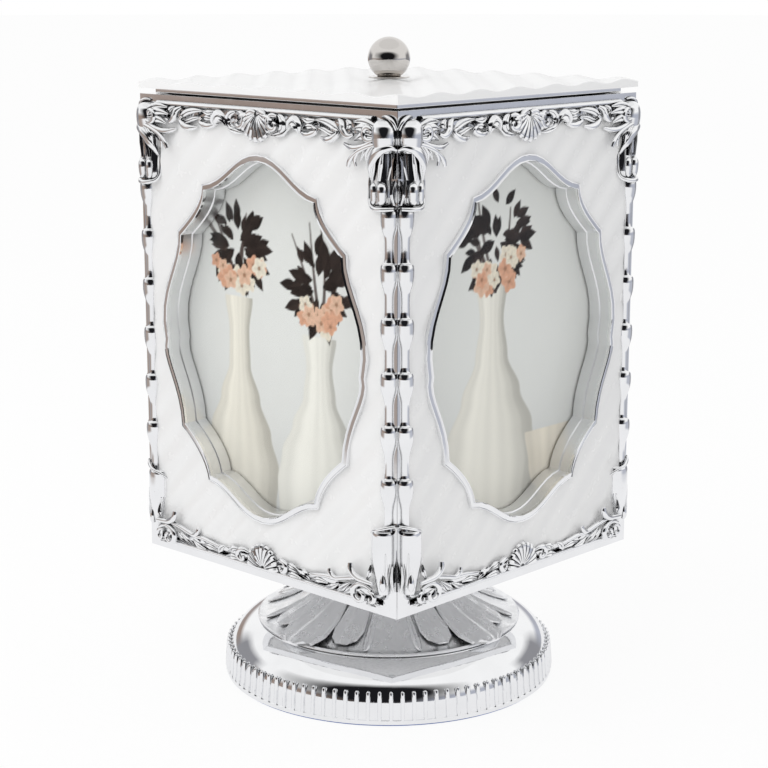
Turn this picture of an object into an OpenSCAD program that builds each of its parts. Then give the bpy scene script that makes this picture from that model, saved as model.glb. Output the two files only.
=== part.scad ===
/* [Photographs] */
// Width of a photograph
photo_w = 127; // [102:0.5:152]
// Height of a photograph
photo_h = 178; // [152:0.5:203]
// Margin of the photograph hidden at each side of the window
window_side_margin = 2; // [1:0.5:8]
// Margin of the photograph hidden above and below the window
window_end_margin = 10; // [6:0.5:20]
// Thickness of the clear cover
cover_t = 0.8; // [0.5:0.1:1]
// Thickness of the photograph card
card_t = 0.4; // [0.3:0.1:0.6]
// Thickness of the back board
board_t = 2; // [1:0.25:2]

/* [Box] */
// Height of the lower edge of the box above the table
box_lift = 62.6; // [58:0.2:80]
// Height of the photographs above the lower edge of the box
photo_foot = 19.5; // [18:0.5:25]
// Height of the box's upper edge above the photographs
photo_head = 15.5; // [14:0.5:25]
// Play at each side of a photograph in its slot
slot_play = 0.67; // [0.3:0.01:2]

/* [Side frames] */
// Depth of a side frame from its face to its back
frame_depth = 13; // [12.5:0.5:15]
// Height of the flat strip along the top
rail_top_h = 5; // [4:0.25:7]
// Height of the flat strip along the bottom
rail_bottom_h = 4.5; // [4:0.25:6]
// Height of the ornament's backing beside each strip
band_h = 8; // [5:0.5:9]
// Step from the strip's face back to the ornament's backing
band_inset = 1.5; // [1:0.25:2]
// Thickness of the moulded front of a side frame
front_t = 2; // [1.5:0.25:2.5]
// Thickness of the walls and shelves behind it
frame_wall = 2; // [1.6:0.1:2.4]
// Width of the flat stile beside each corner
stile_w = 8; // [7:0.5:10]
// Thickness of the rippled white panel at its crests
panel_t = 2; // [1.5:0.25:2.5]
// Depth of the panel's ripples
panel_ripple = 0.8; // [0.4:0.1:1]
// Distance from one ripple of the panel to the next
panel_pitch = 12.5; // [9:0.5:16]
// Width of the plated lip round the window
lip_w = 3.2; // [2:0.2:4]
// Height of the lip above the panel
lip_t = 1.6; // [1:0.2:2]
// Thickness of the wall that lines the window
bezel_wall = 1.2; // [1:0.1:1.6]

/* [Corner columns] */
// Number of beads on a column
bead_count = 6; // [4:1:7]
// Radius of a bead
bead_r = 3.6; // [3:0.1:3.8]
// Radius of the waist between beads
waist_r = 2.1; // [1.6:0.1:2.6]
// Distance of a column's axis from the corner, along the face
column_in = 5; // [5:0.1:6]
// Height of the capital at the top of a column
capital_h = 36.5; // [30:0.5:42]
// Radius of the hood on top of the capital
hood_r = 5.25; // [4.5:0.05:5.3]
// Height of the hood
hood_h = 14; // [11:0.5:16]
// Radius of the capital's cup
cup_r = 5.75; // [5:0.05:5.8]
// Radius of the thin rim that flares out under the cup
rim_r = 4.5; // [4:0.1:4.6]
// Thickness of that rim
rim_t = 1.4; // [1:0.1:2]
// Height of the foot of a column
foot_h = 28; // [22:1:32]
// Radius of the foot's block
block_r = 5.25; // [4.5:0.05:5.3]
// Radius of the petals laid on the cup and the block
petal_r = 2.9; // [2.2:0.1:3.2]
// Height of the cup's petals
petal_h = 11; // [9:0.5:12]

/* [Ornament] */
// Height of the ornament from a strip to its longest tips
ornament_h = 24; // [20:0.5:25]
// Number of lobes in a shell
shell_lobes = 9; // [5:2:11]
// Reach of the shells in the middle of the bands
shell_r = 12; // [9:0.5:13]
// Radius of a shell's lobe at its rim
shell_lobe_r = 1.5; // [1:0.1:1.6]
// Width of a leaf
leaf_w = 3.4; // [2.4:0.2:4]
// How far the leaves stand out from the bands
leaf_relief = 1.6; // [0.8:0.1:2]
// Width of a scroll
scroll_w = 1.9; // [1.4:0.1:2.2]
// Radius of the curls of the scrolls
curl_r = 2.3; // [1.8:0.1:2.6]
// Width of the horns that branch off near the corners
horn_w = 2.4; // [1.8:0.1:3]
// How far the horns stand out from the bands
horn_relief = 3.6; // [2:0.2:4]

/* [Lid] */
// Overhang of the white lid at each side of the box
lid_overhang = 0.5; // [0.5:0.25:5]
// Thickness of the white lid at mid ripple
lid_t = 3.4; // [3:0.1:5]
// Height of a ripple above mid level
ripple_rise = 0.75; // [0.4:0.05:1]
// Distance from one ripple of the lid to the next
ripple_pitch = 17.7; // [15:0.1:24]
// Step from the box's face in to the plated plate under the lid
lid_plate_inset = 5; // [2:0.5:6]
// Thickness of the plated plate
lid_plate_t = 2.2; // [1.8:0.1:3]
// Depth of the rim that centres the lid in the box
lid_rim_h = 4; // [3:0.5:5]
// Diameter of the ball knob
ball_d = 19.3; // [16:0.1:24]

/* [Base] */
// Radius of the base
base_r = 78.4; // [74:0.2:84]
// Height of the top of the base above the table
base_h = 27.5; // [25:0.5:30]
// Thickness of the base shell
base_wall = 2.2; // [1.8:0.1:2.6]
// Height at which the side of the base starts to curve in
base_side_h = 9; // [7:0.5:11]
// Width of the rounded shoulder of the base
shoulder_w = 20.4; // [18:0.2:24]
// Number of ribs round the base
rib_count = 100; // [60:1:110]
// Width of a rib
rib_w = 1.9; // [1.4:0.1:2.2]
// Height of a rib
rib_h = 15; // [12:0.5:16]
// Thickness of the foam pad under the base
pad_t = 1.2; // [1:0.1:2]
// Thickness of the plate that closes the base
base_plate_t = 2.5; // [2:0.25:3.5]

/* [Leaf skirt] */
// Reach of the skirt past the flat top of the base
skirt_reach = 4; // [2:0.5:5]
// Radius of the collar at the top of the skirt
collar_r = 24; // [23:0.5:28]
// Wall thickness of the skirt
skirt_wall = 2.2; // [1.8:0.1:2.6]
// Thickness of the leaves on the skirt
leaf_t = 2; // [1:0.1:2]
// Reach of the large leaves past the foot of the skirt
leaf_over = 4.5; // [3:0.5:6]

/* [Turntable] */
// Diameter of the spindle
spindle_d = 8; // [6:0.5:10]
// Diameter of a bearing ball
bearing_ball_d = 4; // [3.5:0.25:4.5]
// Number of bearing balls
bearing_ball_count = 12; // [8:1:14]
// Thickness of a bearing race
race_t = 1.2; // [1:0.1:1.5]
// Thickness of the floor of the box
floor_t = 3; // [2.5:0.25:4]
// Step from the lower edge of the box up to its floor
floor_recess = 1.5; // [1:0.25:3]

/* [Hidden] */
SIDES = ["front", "right", "back", "left"];
BASE_NODES = ["base_pad", "base_plate", "base_shell", "base_screws", "leaf_skirt", "skirt_screws",
              "spindle", "lower_race", "ball_cage", "bearing_balls", "spindle_washer", "spindle_nut"];
TURNING_NODES = ["upper_race", "floor_plate", "turntable_hub", "hub_screws", "corner_posts",
                 "corner_screws"];
LID_NODES = ["lid_plate", "lid_top", "knob_washer", "ball_knob", "knob_screw"];
SIDE_NODES = ["side_frame_front", "side_frame_right", "side_frame_back", "side_frame_left",
              "wave_panel_front", "wave_panel_right", "wave_panel_back", "wave_panel_left",
              "window_bezel_front", "window_bezel_right", "window_bezel_back", "window_bezel_left",
              "clear_cover_front", "clear_cover_right", "clear_cover_back", "clear_cover_left",
              "photo_card_front", "photo_card_right", "photo_card_back", "photo_card_left",
              "back_board_front", "back_board_right", "back_board_back", "back_board_left"];

$fn = 48;

// Overrun of every cut past the face it opens
over = 1;
// Clearance between pieces that are only laid or pushed together
seat_gap = 0.1;
// Clearance between pieces of different bodies that don't touch
free_gap = 0.3;
// Radial clearance of the hub on the spindle, and of a screw in its hole
run_gap = 0.05;

// Screws of the base, the skirt, the hub and the corner posts
screw_r = 1.5;
screw_head_r = 2.8;
screw_head_h = 1.6;
screw_bite = 8;
boss_r = 4;
post_w = 9;
screw_count = 4;

// Box
mitre_w = frame_wall * sqrt(2);
back_half = photo_w / 2 + slot_play + mitre_w;
box_half = back_half + frame_depth;
box_w = 2 * box_half;
box_h = photo_foot + photo_h + photo_head;
box_top = box_lift + box_h;
band_half = box_half - band_inset;
panel_half = band_half - front_t;
open_half = box_half - stile_w;
mitre_gap = 0.1;
floor_z = box_lift + floor_recess;
floor_top = floor_z + floor_t;
window_w = photo_w - 2 * window_side_margin;
window_h = photo_h - 2 * window_end_margin;
photo_z = box_lift + photo_foot;
window_z = photo_z + photo_h / 2;
shelf_t = frame_wall;
top_ledge_w = 8;
panel_edge = 2;
panel_turn = -45;
panel_steps = 6;
board_drop = 2.5;

// Layers behind the window, from the face inwards
board_y = -back_half - seat_gap;
card_y = board_y - board_t - seat_gap;
cover_y = card_y - card_t - seat_gap;
bezel_y = cover_y - cover_t - seat_gap;

// Outline of the window's right-hand half from the top down, as shares of its half width and
// half height: each row is one sweep between two cusps, with its two control points
oval_shares = [
    [[0, 1], [0.23, 1], [0.33, 0.83], [0.56, 0.81]],
    [[0.56, 0.81], [0.56, 0.71], [0.70, 0.62], [0.82, 0.54]],
    [[0.82, 0.54], [0.81, 0.35], [1.08, 0.20], [0.985, -0.08]],
    [[0.985, -0.08], [1.04, -0.19], [0.83, -0.33], [0.82, -0.56]],
    [[0.82, -0.56], [0.70, -0.63], [0.57, -0.72], [0.545, -0.835]],
    [[0.545, -0.835], [0.33, -0.85], [0.23, -1], [0, -1]]
];
oval_steps = 6;

// Outline of one column bead down one pitch, as shares of the pitch and of the bead's swell
bead_shares = [[0, 0.35], [0.04, 0.75], [0.14, 1], [0.26, 0.9], [0.37, 0.3], [0.46, 0],
               [0.70, 0.02], [0.90, 0.2], [1, 0.35]];
// Outlines of the lobes of a capital and a foot from the bottom up, as shares of height and radius
hood_shares = [[0, 0], [0, 0.72], [0.16, 0.9], [0.4, 1], [0.68, 0.99], [0.86, 0.84], [0.96, 0.5],
               [1, 0.2], [1, 0]];
cup_shares = [[0, 0], [0, 0.76], [0.05, 0.94], [0.12, 1], [0.28, 0.98], [0.42, 0.88], [0.60, 0.80],
              [1, 0.70], [1, 0]];
rim_shares = [[0, 0], [0, 1], [0.5, 0.94], [1, 0.7], [1, 0]];
block_shares = [[0, 0], [0, 0.34], [0.12, 0.60], [0.30, 0.86], [0.5, 0.98], [0.88, 1],
                [0.96, 0.92], [1, 0.66], [1, 0]];
petal_shares = [[0, 0], [0, 0.36], [0.10, 0.80], [0.28, 1], [0.62, 0.96], [0.88, 0.62], [1, 0.2],
                [1, 0]];
// Where the axes of these lobes stand: in from the corner along the face, and out from the face
hood_in = 6.4;
hood_out = 1;
cup_in = 9;
cup_out = -0.8;
rim_in = 5;
rim_out = 1.4;
block_in = 7.7;
block_out = -0.2;
inner_petal_in = 4.9;
inner_petal_out = 1.2;
outer_petal_in = 9.4;
outer_petal_out = 2.4;
foot_petal_in = 4;
foot_petal_out = 1;
collar_foot_in = 4.9;
collar_foot_out = 0.4;
collar_foot_r = 3.4;
collar_foot_h = 3.6;
column_top_margin = 3;
foot_margin = 10;
foot_z = box_lift + foot_margin;
column_foot_z = foot_z + foot_h;
column_top_z = box_top - column_top_margin - capital_h;
cup_h = capital_h - hood_h / 2;
hood_z = box_top - column_top_margin - hood_h;
bead_pitch = (column_top_z - column_foot_z) / bead_count;

// Ornament of the right-hand half of a band: leaves, scrolls and horns along curves given by
// four control points, as shares of the half width of the opening and of the ornament's height,
// which is counted from the strip at the box's edge towards the window
upper_leaf_shares = [
    [[0.27, 0.46], [0.28, 0.25], [0.36, 0.25], [0.365, 0.50]],
    [[0.38, 0.29], [0.42, 0.24], [0.45, 0.24], [0.48, 0.30]],
    [[0.49, 0.24], [0.57, 0.25], [0.65, 0.27], [0.70, 0.43]],
    [[0.98, 0.27], [0.93, 0.20], [0.86, 0.20], [0.80, 0.23]],
    [[0.98, 0.40], [0.92, 0.33], [0.86, 0.31], [0.80, 0.35]],
    [[0.98, 0.57], [0.95, 0.68], [0.94, 0.80], [0.92, 0.94]]
];
upper_scroll_shares = [
    [[0.27, 0.50], [0.52, 0.42], [0.70, 0.66], [0.99, 0.58]],
    [[0.68, 0.21], [0.75, 0.25], [0.70, 0.50], [0.81, 0.44]]
];
upper_horn_shares = [
    [[0.99, 0.57], [0.90, 0.62], [0.81, 0.74], [0.785, 0.96]]
];
upper_curl_shares = [[0.115, 0.32], [0.21, 0.34], [0.93, 0.40]];
lower_leaf_shares = [
    [[0.22, 0.48], [0.25, 0.51], [0.30, 0.46], [0.34, 0.37]],
    [[0.22, 0.27], [0.26, 0.32], [0.30, 0.31], [0.35, 0.27]],
    [[0.37, 0.47], [0.38, 0.40], [0.40, 0.34], [0.43, 0.27]],
    [[0.53, 0.27], [0.58, 0.28], [0.62, 0.33], [0.66, 0.40]],
    [[0.65, 0.27], [0.69, 0.35], [0.73, 0.42], [0.77, 0.51]]
];
lower_scroll_shares = [
    [[0.38, 0.36], [0.55, 0.46], [0.72, 0.58], [0.97, 0.60]],
    [[0.70, 0.50], [0.63, 0.48], [0.59, 0.53], [0.595, 0.68]]
];
lower_horn_shares = [
    [[0.99, 0.61], [0.88, 0.62], [0.79, 0.68], [0.79, 0.90]]
];
lower_curl_shares = [[0.18, 0.39], [0.85, 0.37], [0.94, 0.31]];
stroke_steps = 6;
// Where a leaf's swell starts and ends on half a turn of the sine curve
stroke_start = 22;
stroke_end = 166;
crest_share = 0.5;
curl_turn = 300;
curl_start = 200;
shell_fan = 160;
shell_root_share = 0.45;
shell_start_share = 1.5;
shell_boss_share = 1.8;

// Lid
lid_z = box_top + free_gap;
lid_top_z = lid_z + lid_plate_t;
lid_half = box_half + lid_overhang;
lid_w = 2 * lid_half;
washer_z = lid_top_z + lid_t + ripple_rise;
washer_r = 9.5;
washer_t = 0.8;
ball_r = ball_d / 2;
ball_flat_share = 0.84;
ball_z = washer_z + washer_t + ball_r * ball_flat_share;
knob_bite = 9;
ripple_steps = 8;

// Base
base_flat_r = base_r - shoulder_w;
dome_drop = base_h - base_side_h;
dome_steps = 7;
spindle_r = spindle_d / 2;
rib_lean = 9;
rib_proud = 0.7;
rib_foot = 0.8;
side_draft = 0.8;
plate_top = pad_t + base_plate_t;
pad_edge = 1.5;
boss_inset = 8;
boss_place_r = base_flat_r - boss_inset;
skirt_r = base_flat_r + skirt_reach;
leaf_reach = skirt_r + leaf_over;
skirt_boss_inset = 22;
skirt_boss_place_r = skirt_r - skirt_boss_inset;
spindle_head_r = 8;
spindle_head_h = 5;

// Turntable stack from the floor plate down to the skirt
upper_race_z = floor_z - race_t;
ball_centre_z = upper_race_z - run_gap - bearing_ball_d / 2;
lower_race_z = ball_centre_z - bearing_ball_d / 2 - race_t;
skirt_top = lower_race_z;
race_outer_r = 20;
race_inner_r = 9;
ball_circle_r = 14.5;
cage_t = 1.2;
cage_edge = 2;
collar_t = 2.5;
hub_r = 7;
hub_flange_r = 18;
hub_flange_t = 2.5;
hub_h = 10;
hub_screw_r = 1.25;
hub_screw_head_r = 2.4;
hub_screw_head_h = 1.4;
hub_screw_place_r = 13;
nut_r = 7.5;
nut_h = 6.5;
nut_washer_r = 9;
nut_washer_t = 1.2;
spindle_over = 2;
hub_top = floor_top + hub_h;
nut_z = hub_top + free_gap + nut_washer_t;

// Outline of the skirt from foot to collar: control points as shares of the step in radius
// and in height
skirt_shares = [[0, 0], [0.42, 0.15], [0.90, 0.45], [1, 1]];
skirt_steps = 7;
skirt_lining_share = 2.2;
leaf_steps = 5;
leaf_inner_r = 27;
large_leaf_w = 25;
small_leaf_w = 15;
small_leaf_reach_share = 0.78;
small_leaf_turn = 20;
leaf_neck_share = 0.35;
leaf_swell_power = 1.6;
leaf_tip_power = 6;

function mix(a, b, t) = a + (b - a) * t;
function bezier(p, t) =
    p[0] * pow(1 - t, 3) + 3 * p[1] * pow(1 - t, 2) * t + 3 * p[2] * (1 - t) * t * t + p[3] * t * t * t;
function oval_half(half_w, half_h) =
    [for (row = oval_shares) for (i = [0:oval_steps - 1])
        let (p = bezier(row, i / oval_steps)) [p[0] * half_w, p[1] * half_h]];
function oval(half_w, half_h) =
    let (right = oval_half(half_w, half_h), last = len(right) - 1)
    concat(right, [[0, -half_h]], [for (i = [last:-1:1]) [-right[i][0], right[i][1]]]);
// Outline of the base from its foot up to its flat top, moved inwards by inset
function dome(inset, foot_z) =
    concat([[base_r - inset, foot_z]],
           [for (i = [0:dome_steps]) let (a = 90 * i / dome_steps)
               [base_flat_r + (base_r - side_draft - base_flat_r - inset) * cos(a),
                base_side_h + (dome_drop - inset) * sin(a)]]);
function skirt_curve(foot_r, foot_z, top_r, top_z) =
    [for (i = [0:skirt_steps])
        let (s = bezier(skirt_shares, i / skirt_steps))
        [mix(foot_r, top_r, s[0]), mix(foot_z, top_z, s[1])]];

// A tube or washer standing on the XY plane
module ring(outer_r, inner_r, h) {
    difference() {
        cylinder(r = outer_r, h = h);
        translate([0, 0, -over]) cylinder(r = inner_r, h = h + 2 * over);
    }
}

// A round-headed screw pointing up, with its head below the XY plane
module screw(r, head_r, head_h, shank) {
    translate([0, 0, -head_h]) cylinder(r = head_r, h = head_h);
    cylinder(r = r, h = shank);
}

// Children repeated at a radius round the axis
module around(count, radius, turn = 0) {
    for (i = [0:count - 1]) rotate([0, 0, turn + 360 * i / count]) translate([radius, 0, 0]) children();
}

// The window outline standing upright and pointing along +Y from y, grown by grow on each side
module window_prism(grow, y, depth) {
    translate([0, y, window_z]) rotate([90, 0, 0]) translate([0, 0, -depth]) linear_extrude(depth)
        polygon(oval(window_w / 2 + grow, window_h / 2 + grow));
}

// A box centred on X, from y outwards to y + depth
module slab(half_w, y, depth, z, h) {
    translate([-half_w, y, z]) cube([2 * half_w, depth, h]);
}

// The wedge of plan that one side of the box takes, up to the mitres at its corners
module mitre_wedge(z, h, gap) {
    translate([0, -gap, z]) linear_extrude(h) polygon([[0, 0], [-box_w, -box_w], [box_w, -box_w]]);
}

// Room behind the moulded front, inside the mitred walls
module frame_pocket() {
    translate([0, 0, box_lift + frame_wall]) linear_extrude(box_h)
        polygon([[-panel_half + mitre_w, -panel_half], [panel_half - mitre_w, -panel_half],
                 [back_half - mitre_w - over, -back_half + over],
                 [-back_half + mitre_w + over, -back_half + over]]);
}

// A turned lobe on a corner, with its axis in from the corner and out from the face
module lobe(shares, r, h, in, out, z) {
    translate([box_half - in, -box_half - out, z])
        rotate_extrude() polygon([for (s = shares) [s[1] * r, s[0] * h]]);
}

// Capital: a hood on a cup that has petals laid on it and a thin rim under it
module capital() {
    lobe(hood_shares, hood_r, hood_h, hood_in, hood_out, hood_z);
    lobe(cup_shares, cup_r, cup_h, cup_in, cup_out, column_top_z);
    lobe(rim_shares, rim_r, rim_t, rim_in, rim_out, column_top_z);
    lobe(petal_shares, petal_r, petal_h, inner_petal_in, inner_petal_out, column_top_z + rim_t);
    lobe(petal_shares, petal_r, petal_h, outer_petal_in, outer_petal_out, column_top_z + rim_t);
}

// Foot: a block that narrows downwards, with a petal laid on it and a collar round the column
module foot() {
    lobe(block_shares, block_r, foot_h, block_in, block_out, foot_z);
    lobe(petal_shares, petal_r, foot_h - petal_r, foot_petal_in, foot_petal_out, foot_z + rim_t);
    lobe(rim_shares, collar_foot_r, collar_foot_h, collar_foot_in, collar_foot_out, column_foot_z);
}

// One corner column: beads between a capital and a foot
module column() {
    swell = bead_r - waist_r;
    bar = [for (b = [0:bead_count - 1]) for (s = [0:len(bead_shares) - 2])
        let (k = len(bead_shares) - 1 - s)
        [waist_r + bead_shares[k][1] * swell, column_foot_z + (b + 1 - bead_shares[k][0]) * bead_pitch]];
    end = [waist_r + bead_shares[0][1] * swell, column_top_z];
    translate([box_half - column_in, -box_half, 0])
        rotate_extrude() polygon(concat([[0, column_foot_z]], bar, [end], [[0, column_top_z]]));
    capital();
    foot();
}

// Outline of a stroke that swells and tapers along a curve given by four control points
function stroke(row, w) =
    let (line = [for (i = [0:stroke_steps])
             let (p = bezier(row, i / stroke_steps)) [p[0] * open_half, p[1] * ornament_h]],
         side = [for (i = [0:stroke_steps])
             let (way = line[min(i + 1, stroke_steps)] - line[max(i - 1, 0)],
                  half = w / 2 * sin(mix(stroke_start, stroke_end, i / stroke_steps)))
             [-way[1], way[0]] * half / norm(way)])
    concat([for (i = [0:stroke_steps]) line[i] + side[i]],
           [for (i = [stroke_steps:-1:0]) line[i] - side[i]]);

// Strokes standing out from the band, drawn with the height along +Y: a broad foot and a crest
module strokes(rows, w, relief) {
    for (row = rows) {
        linear_extrude(front_t + relief / 2) polygon(stroke(row, w));
        linear_extrude(front_t + relief) polygon(stroke(row, w * crest_share));
    }
}

// Curls of the scrolls: parts of rings half sunk in the band
module curls(places) {
    for (p = places) translate([p[0] * open_half, p[1] * ornament_h, front_t])
        rotate([0, 0, curl_start]) rotate_extrude(angle = curl_turn)
            translate([curl_r, 0]) circle(d = scroll_w);
}

// Shell in the middle of a band: lobes that fan out from a boss on the strip
module shell(root) {
    lobe = shell_r - shell_lobe_r;
    start = shell_lobe_r * shell_start_share;
    translate([0, root, front_t]) sphere(r = shell_lobe_r * shell_boss_share);
    for (i = [0:shell_lobes - 1]) translate([0, root, front_t])
        rotate([0, 0, mix(-shell_fan / 2, shell_fan / 2, i / (shell_lobes - 1))])
            rotate([-90, 0, 0]) {
                translate([0, 0, start])
                    cylinder(r1 = shell_lobe_r * shell_root_share, r2 = shell_lobe_r, h = lobe - start);
                translate([0, 0, lobe]) sphere(r = shell_lobe_r);
            }
}

// Ornament of one band, drawn on the XY plane with the box's edge along X
module ornament(leaves, scrolls, horns, curl_places, root) {
    for (side = [0, 1]) mirror([side, 0, 0]) {
        strokes(leaves, leaf_w, leaf_relief);
        strokes(scrolls, scroll_w, leaf_relief);
        strokes(horns, horn_w, horn_relief);
        curls(curl_places);
    }
    shell(root);
}

// One side of the box: a plated frame, facing -Y
module side_frame() {
    color("silver") intersection() {
        union() {
            difference() {
                slab(box_half, -box_half, frame_depth, box_lift, box_h);
                slab(open_half, -box_half - over, band_inset + over, box_lift + rail_bottom_h,
                     box_h - rail_bottom_h - rail_top_h);
                slab(open_half, -box_half - over, frame_depth, box_lift + rail_bottom_h + band_h,
                     box_h - rail_bottom_h - rail_top_h - 2 * band_h);
                frame_pocket();
            }
            slab(back_half, -band_half, top_ledge_w - band_inset, box_top - frame_wall, frame_wall);
            slab(back_half, -panel_half + panel_t + seat_gap,
                 panel_half - panel_t - seat_gap - back_half, photo_z - shelf_t - seat_gap, shelf_t);
            intersection() {
                union() {
                    column();
                    mirror([1, 0, 0]) column();
                    translate([0, -panel_half, box_lift]) rotate([90, 0, 0])
                        ornament(lower_leaf_shares, lower_scroll_shares, lower_horn_shares,
                                 lower_curl_shares, rail_bottom_h);
                    translate([0, -panel_half, box_top]) rotate([90, 0, 0]) mirror([0, 1, 0])
                        ornament(upper_leaf_shares, upper_scroll_shares, upper_horn_shares,
                                 upper_curl_shares, rail_top_h);
                }
                slab(box_w, -box_w, box_w - panel_half, box_lift, box_h);
            }
        }
        mitre_wedge(box_lift - over, box_h + 2 * over, mitre_gap);
    }
}

// Cross-section of a rippled sheet: waves of a pitch and a rise about its mid level
module ripples(pitch, rise, level, steps, waves) {
    polygon(concat([[-waves * pitch, 0]],
        [for (i = [-waves * steps:waves * steps]) [i * pitch / steps, level + rise * cos(360 * i / steps)]],
        [[waves * pitch, 0]]));
}

// The white panel behind the frame, with ripples that climb to the right and the window cut
// through it
module wave_panel() {
    waves = ceil((box_h / 2 + panel_half) / panel_pitch);
    rise = panel_ripple / 2;
    color("white") difference() {
        intersection() {
            slab(panel_half - panel_t - mitre_w - seat_gap,
                 -panel_half - over, panel_t + 2 * over, box_lift + rail_bottom_h + panel_edge,
                 box_h - rail_bottom_h - rail_top_h - 2 * panel_edge);
            translate([0, -panel_half + panel_t, box_lift + box_h / 2]) rotate([0, -panel_turn, 0])
                translate([0, 0, -box_h]) linear_extrude(2 * box_h) mirror([0, 1])
                    ripples(panel_pitch, rise, panel_t - seat_gap - rise, panel_steps, waves);
        }
        window_prism(bezel_wall + seat_gap, -panel_half - over, panel_t + 2 * over);
    }
}

// The plated lip and wall that line the window
module window_bezel() {
    bevel = lip_t / 2;
    color("silver") difference() {
        union() {
            window_prism(lip_w, -panel_half - bevel, bevel);
            window_prism(lip_w - bevel, -panel_half - lip_t, lip_t);
            window_prism(bezel_wall, -panel_half - over / 2, bezel_y + panel_half + over / 2);
        }
        window_prism(0, -box_half - over, frame_depth + over);
    }
}

module clear_cover() {
    color("white") slab(photo_w / 2, cover_y - cover_t, cover_t, photo_z, photo_h);
}

module photo_card() {
    color("gainsboro") slab(photo_w / 2, card_y - card_t, card_t, photo_z, photo_h);
}

module back_board() {
    color("dimgray")
        slab(photo_w / 2, board_y - board_t, board_t, photo_z, box_top - board_drop - photo_z);
}

// Posts in the four inner corners, which hold the frames together and the boards in place
module corner_posts() {
    outer = back_half - seat_gap;
    color("dimgray") for (turn = [0:90:270]) rotate([0, 0, turn]) difference() {
        translate([outer - post_w, outer - post_w, floor_top])
            cube([post_w, post_w, box_top - lid_rim_h - 2 * free_gap - floor_top]);
        translate([outer - post_w / 2, outer - post_w / 2, floor_top - over])
            cylinder(r = screw_r + run_gap, h = screw_bite + over);
    }
}

module corner_screws() {
    place = back_half - seat_gap - post_w / 2;
    color("silver") for (turn = [0:90:270]) rotate([0, 0, turn])
        translate([place, place, floor_z + screw_head_h])
            screw(screw_r, screw_head_r, screw_head_h, floor_t - screw_head_h + screw_bite - seat_gap);
}

module floor_plate() {
    half = back_half - seat_gap;
    place = half - post_w / 2;
    color("dimgray") difference() {
        translate([-half, -half, floor_z]) cube([2 * half, 2 * half, floor_t]);
        translate([0, 0, floor_z - over]) cylinder(r = hub_r + run_gap, h = floor_t + 2 * over);
        around(screw_count, hub_screw_place_r)
            translate([0, 0, floor_z - over]) cylinder(r = hub_screw_r + run_gap, h = floor_t + 2 * over);
        for (turn = [0:90:270]) rotate([0, 0, turn]) translate([place, place, floor_z - over]) {
            cylinder(r = screw_r + run_gap, h = floor_t + 2 * over);
            cylinder(r = screw_head_r + run_gap, h = screw_head_h + over);
        }
    }
}

// Flanged bush that turns on the spindle
module turntable_hub() {
    color("gainsboro") difference() {
        union() {
            translate([0, 0, floor_z]) cylinder(r = hub_r, h = hub_top - floor_z);
            translate([0, 0, floor_top]) cylinder(r = hub_flange_r, h = hub_flange_t);
        }
        translate([0, 0, floor_z - over])
            cylinder(r = spindle_r + run_gap, h = hub_top - floor_z + 2 * over);
        around(screw_count, hub_screw_place_r)
            translate([0, 0, floor_top - over])
                cylinder(r = hub_screw_r + run_gap, h = hub_flange_t + 2 * over);
    }
}

module hub_screws() {
    color("silver") around(screw_count, hub_screw_place_r)
        translate([0, 0, floor_top + hub_flange_t]) mirror([0, 0, 1])
            screw(hub_screw_r, hub_screw_head_r, hub_screw_head_h, hub_flange_t + floor_t);
}

module upper_race() {
    color("silver") translate([0, 0, upper_race_z]) ring(race_outer_r, race_inner_r, race_t);
}

module lower_race() {
    color("silver") translate([0, 0, lower_race_z]) ring(race_outer_r, race_inner_r, race_t);
}

module bearing_balls() {
    color("silver") around(bearing_ball_count, ball_circle_r)
        translate([0, 0, ball_centre_z]) sphere(r = bearing_ball_d / 2);
}

module ball_cage() {
    reach = bearing_ball_d / 2 + cage_edge;
    color("ivory") difference() {
        translate([0, 0, ball_centre_z - cage_t / 2])
            ring(ball_circle_r + reach, ball_circle_r - reach, cage_t);
        around(bearing_ball_count, ball_circle_r) translate([0, 0, ball_centre_z - cage_t])
            cylinder(r = bearing_ball_d / 2 + seat_gap, h = 2 * cage_t);
    }
}

// Bolt on which the box turns, with its head under the top of the base
module spindle() {
    head_z = base_h - base_wall - spindle_head_h;
    color("silver") {
        translate([0, 0, head_z]) cylinder(r = spindle_head_r, h = spindle_head_h, $fn = 6);
        translate([0, 0, head_z]) cylinder(r = spindle_r, h = nut_z + nut_h + spindle_over - head_z);
    }
}

module spindle_washer() {
    color("silver") translate([0, 0, nut_z - nut_washer_t])
        ring(nut_washer_r, spindle_r + run_gap, nut_washer_t);
}

module spindle_nut() {
    color("silver") translate([0, 0, nut_z]) difference() {
        cylinder(r = nut_r, h = nut_h, $fn = 6);
        translate([0, 0, -over]) cylinder(r = spindle_r + run_gap, h = nut_h + 2 * over);
    }
}

// Trumpet-shaped body of the skirt, from the top of the base to its collar
module skirt_body(grow) {
    rotate_extrude() polygon(concat([[0, base_h]],
        skirt_curve(skirt_r + grow, base_h, collar_r + grow, skirt_top), [[0, skirt_top]]));
}

// Outline of a leaf in plan, pointing along +X
module leaf_outline(width, reach) {
    side = [for (i = [0:leaf_steps]) let (t = i / leaf_steps)
        [mix(leaf_inner_r, reach, t),
         width / 2 * mix(leaf_neck_share, 1, sin(180 * pow(t, leaf_swell_power)))
             * (1 - pow(t, leaf_tip_power))]];
    polygon(concat(side, [for (i = [leaf_steps - 1:-1:0]) [side[i][0], -side[i][1]]]));
}

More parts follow.
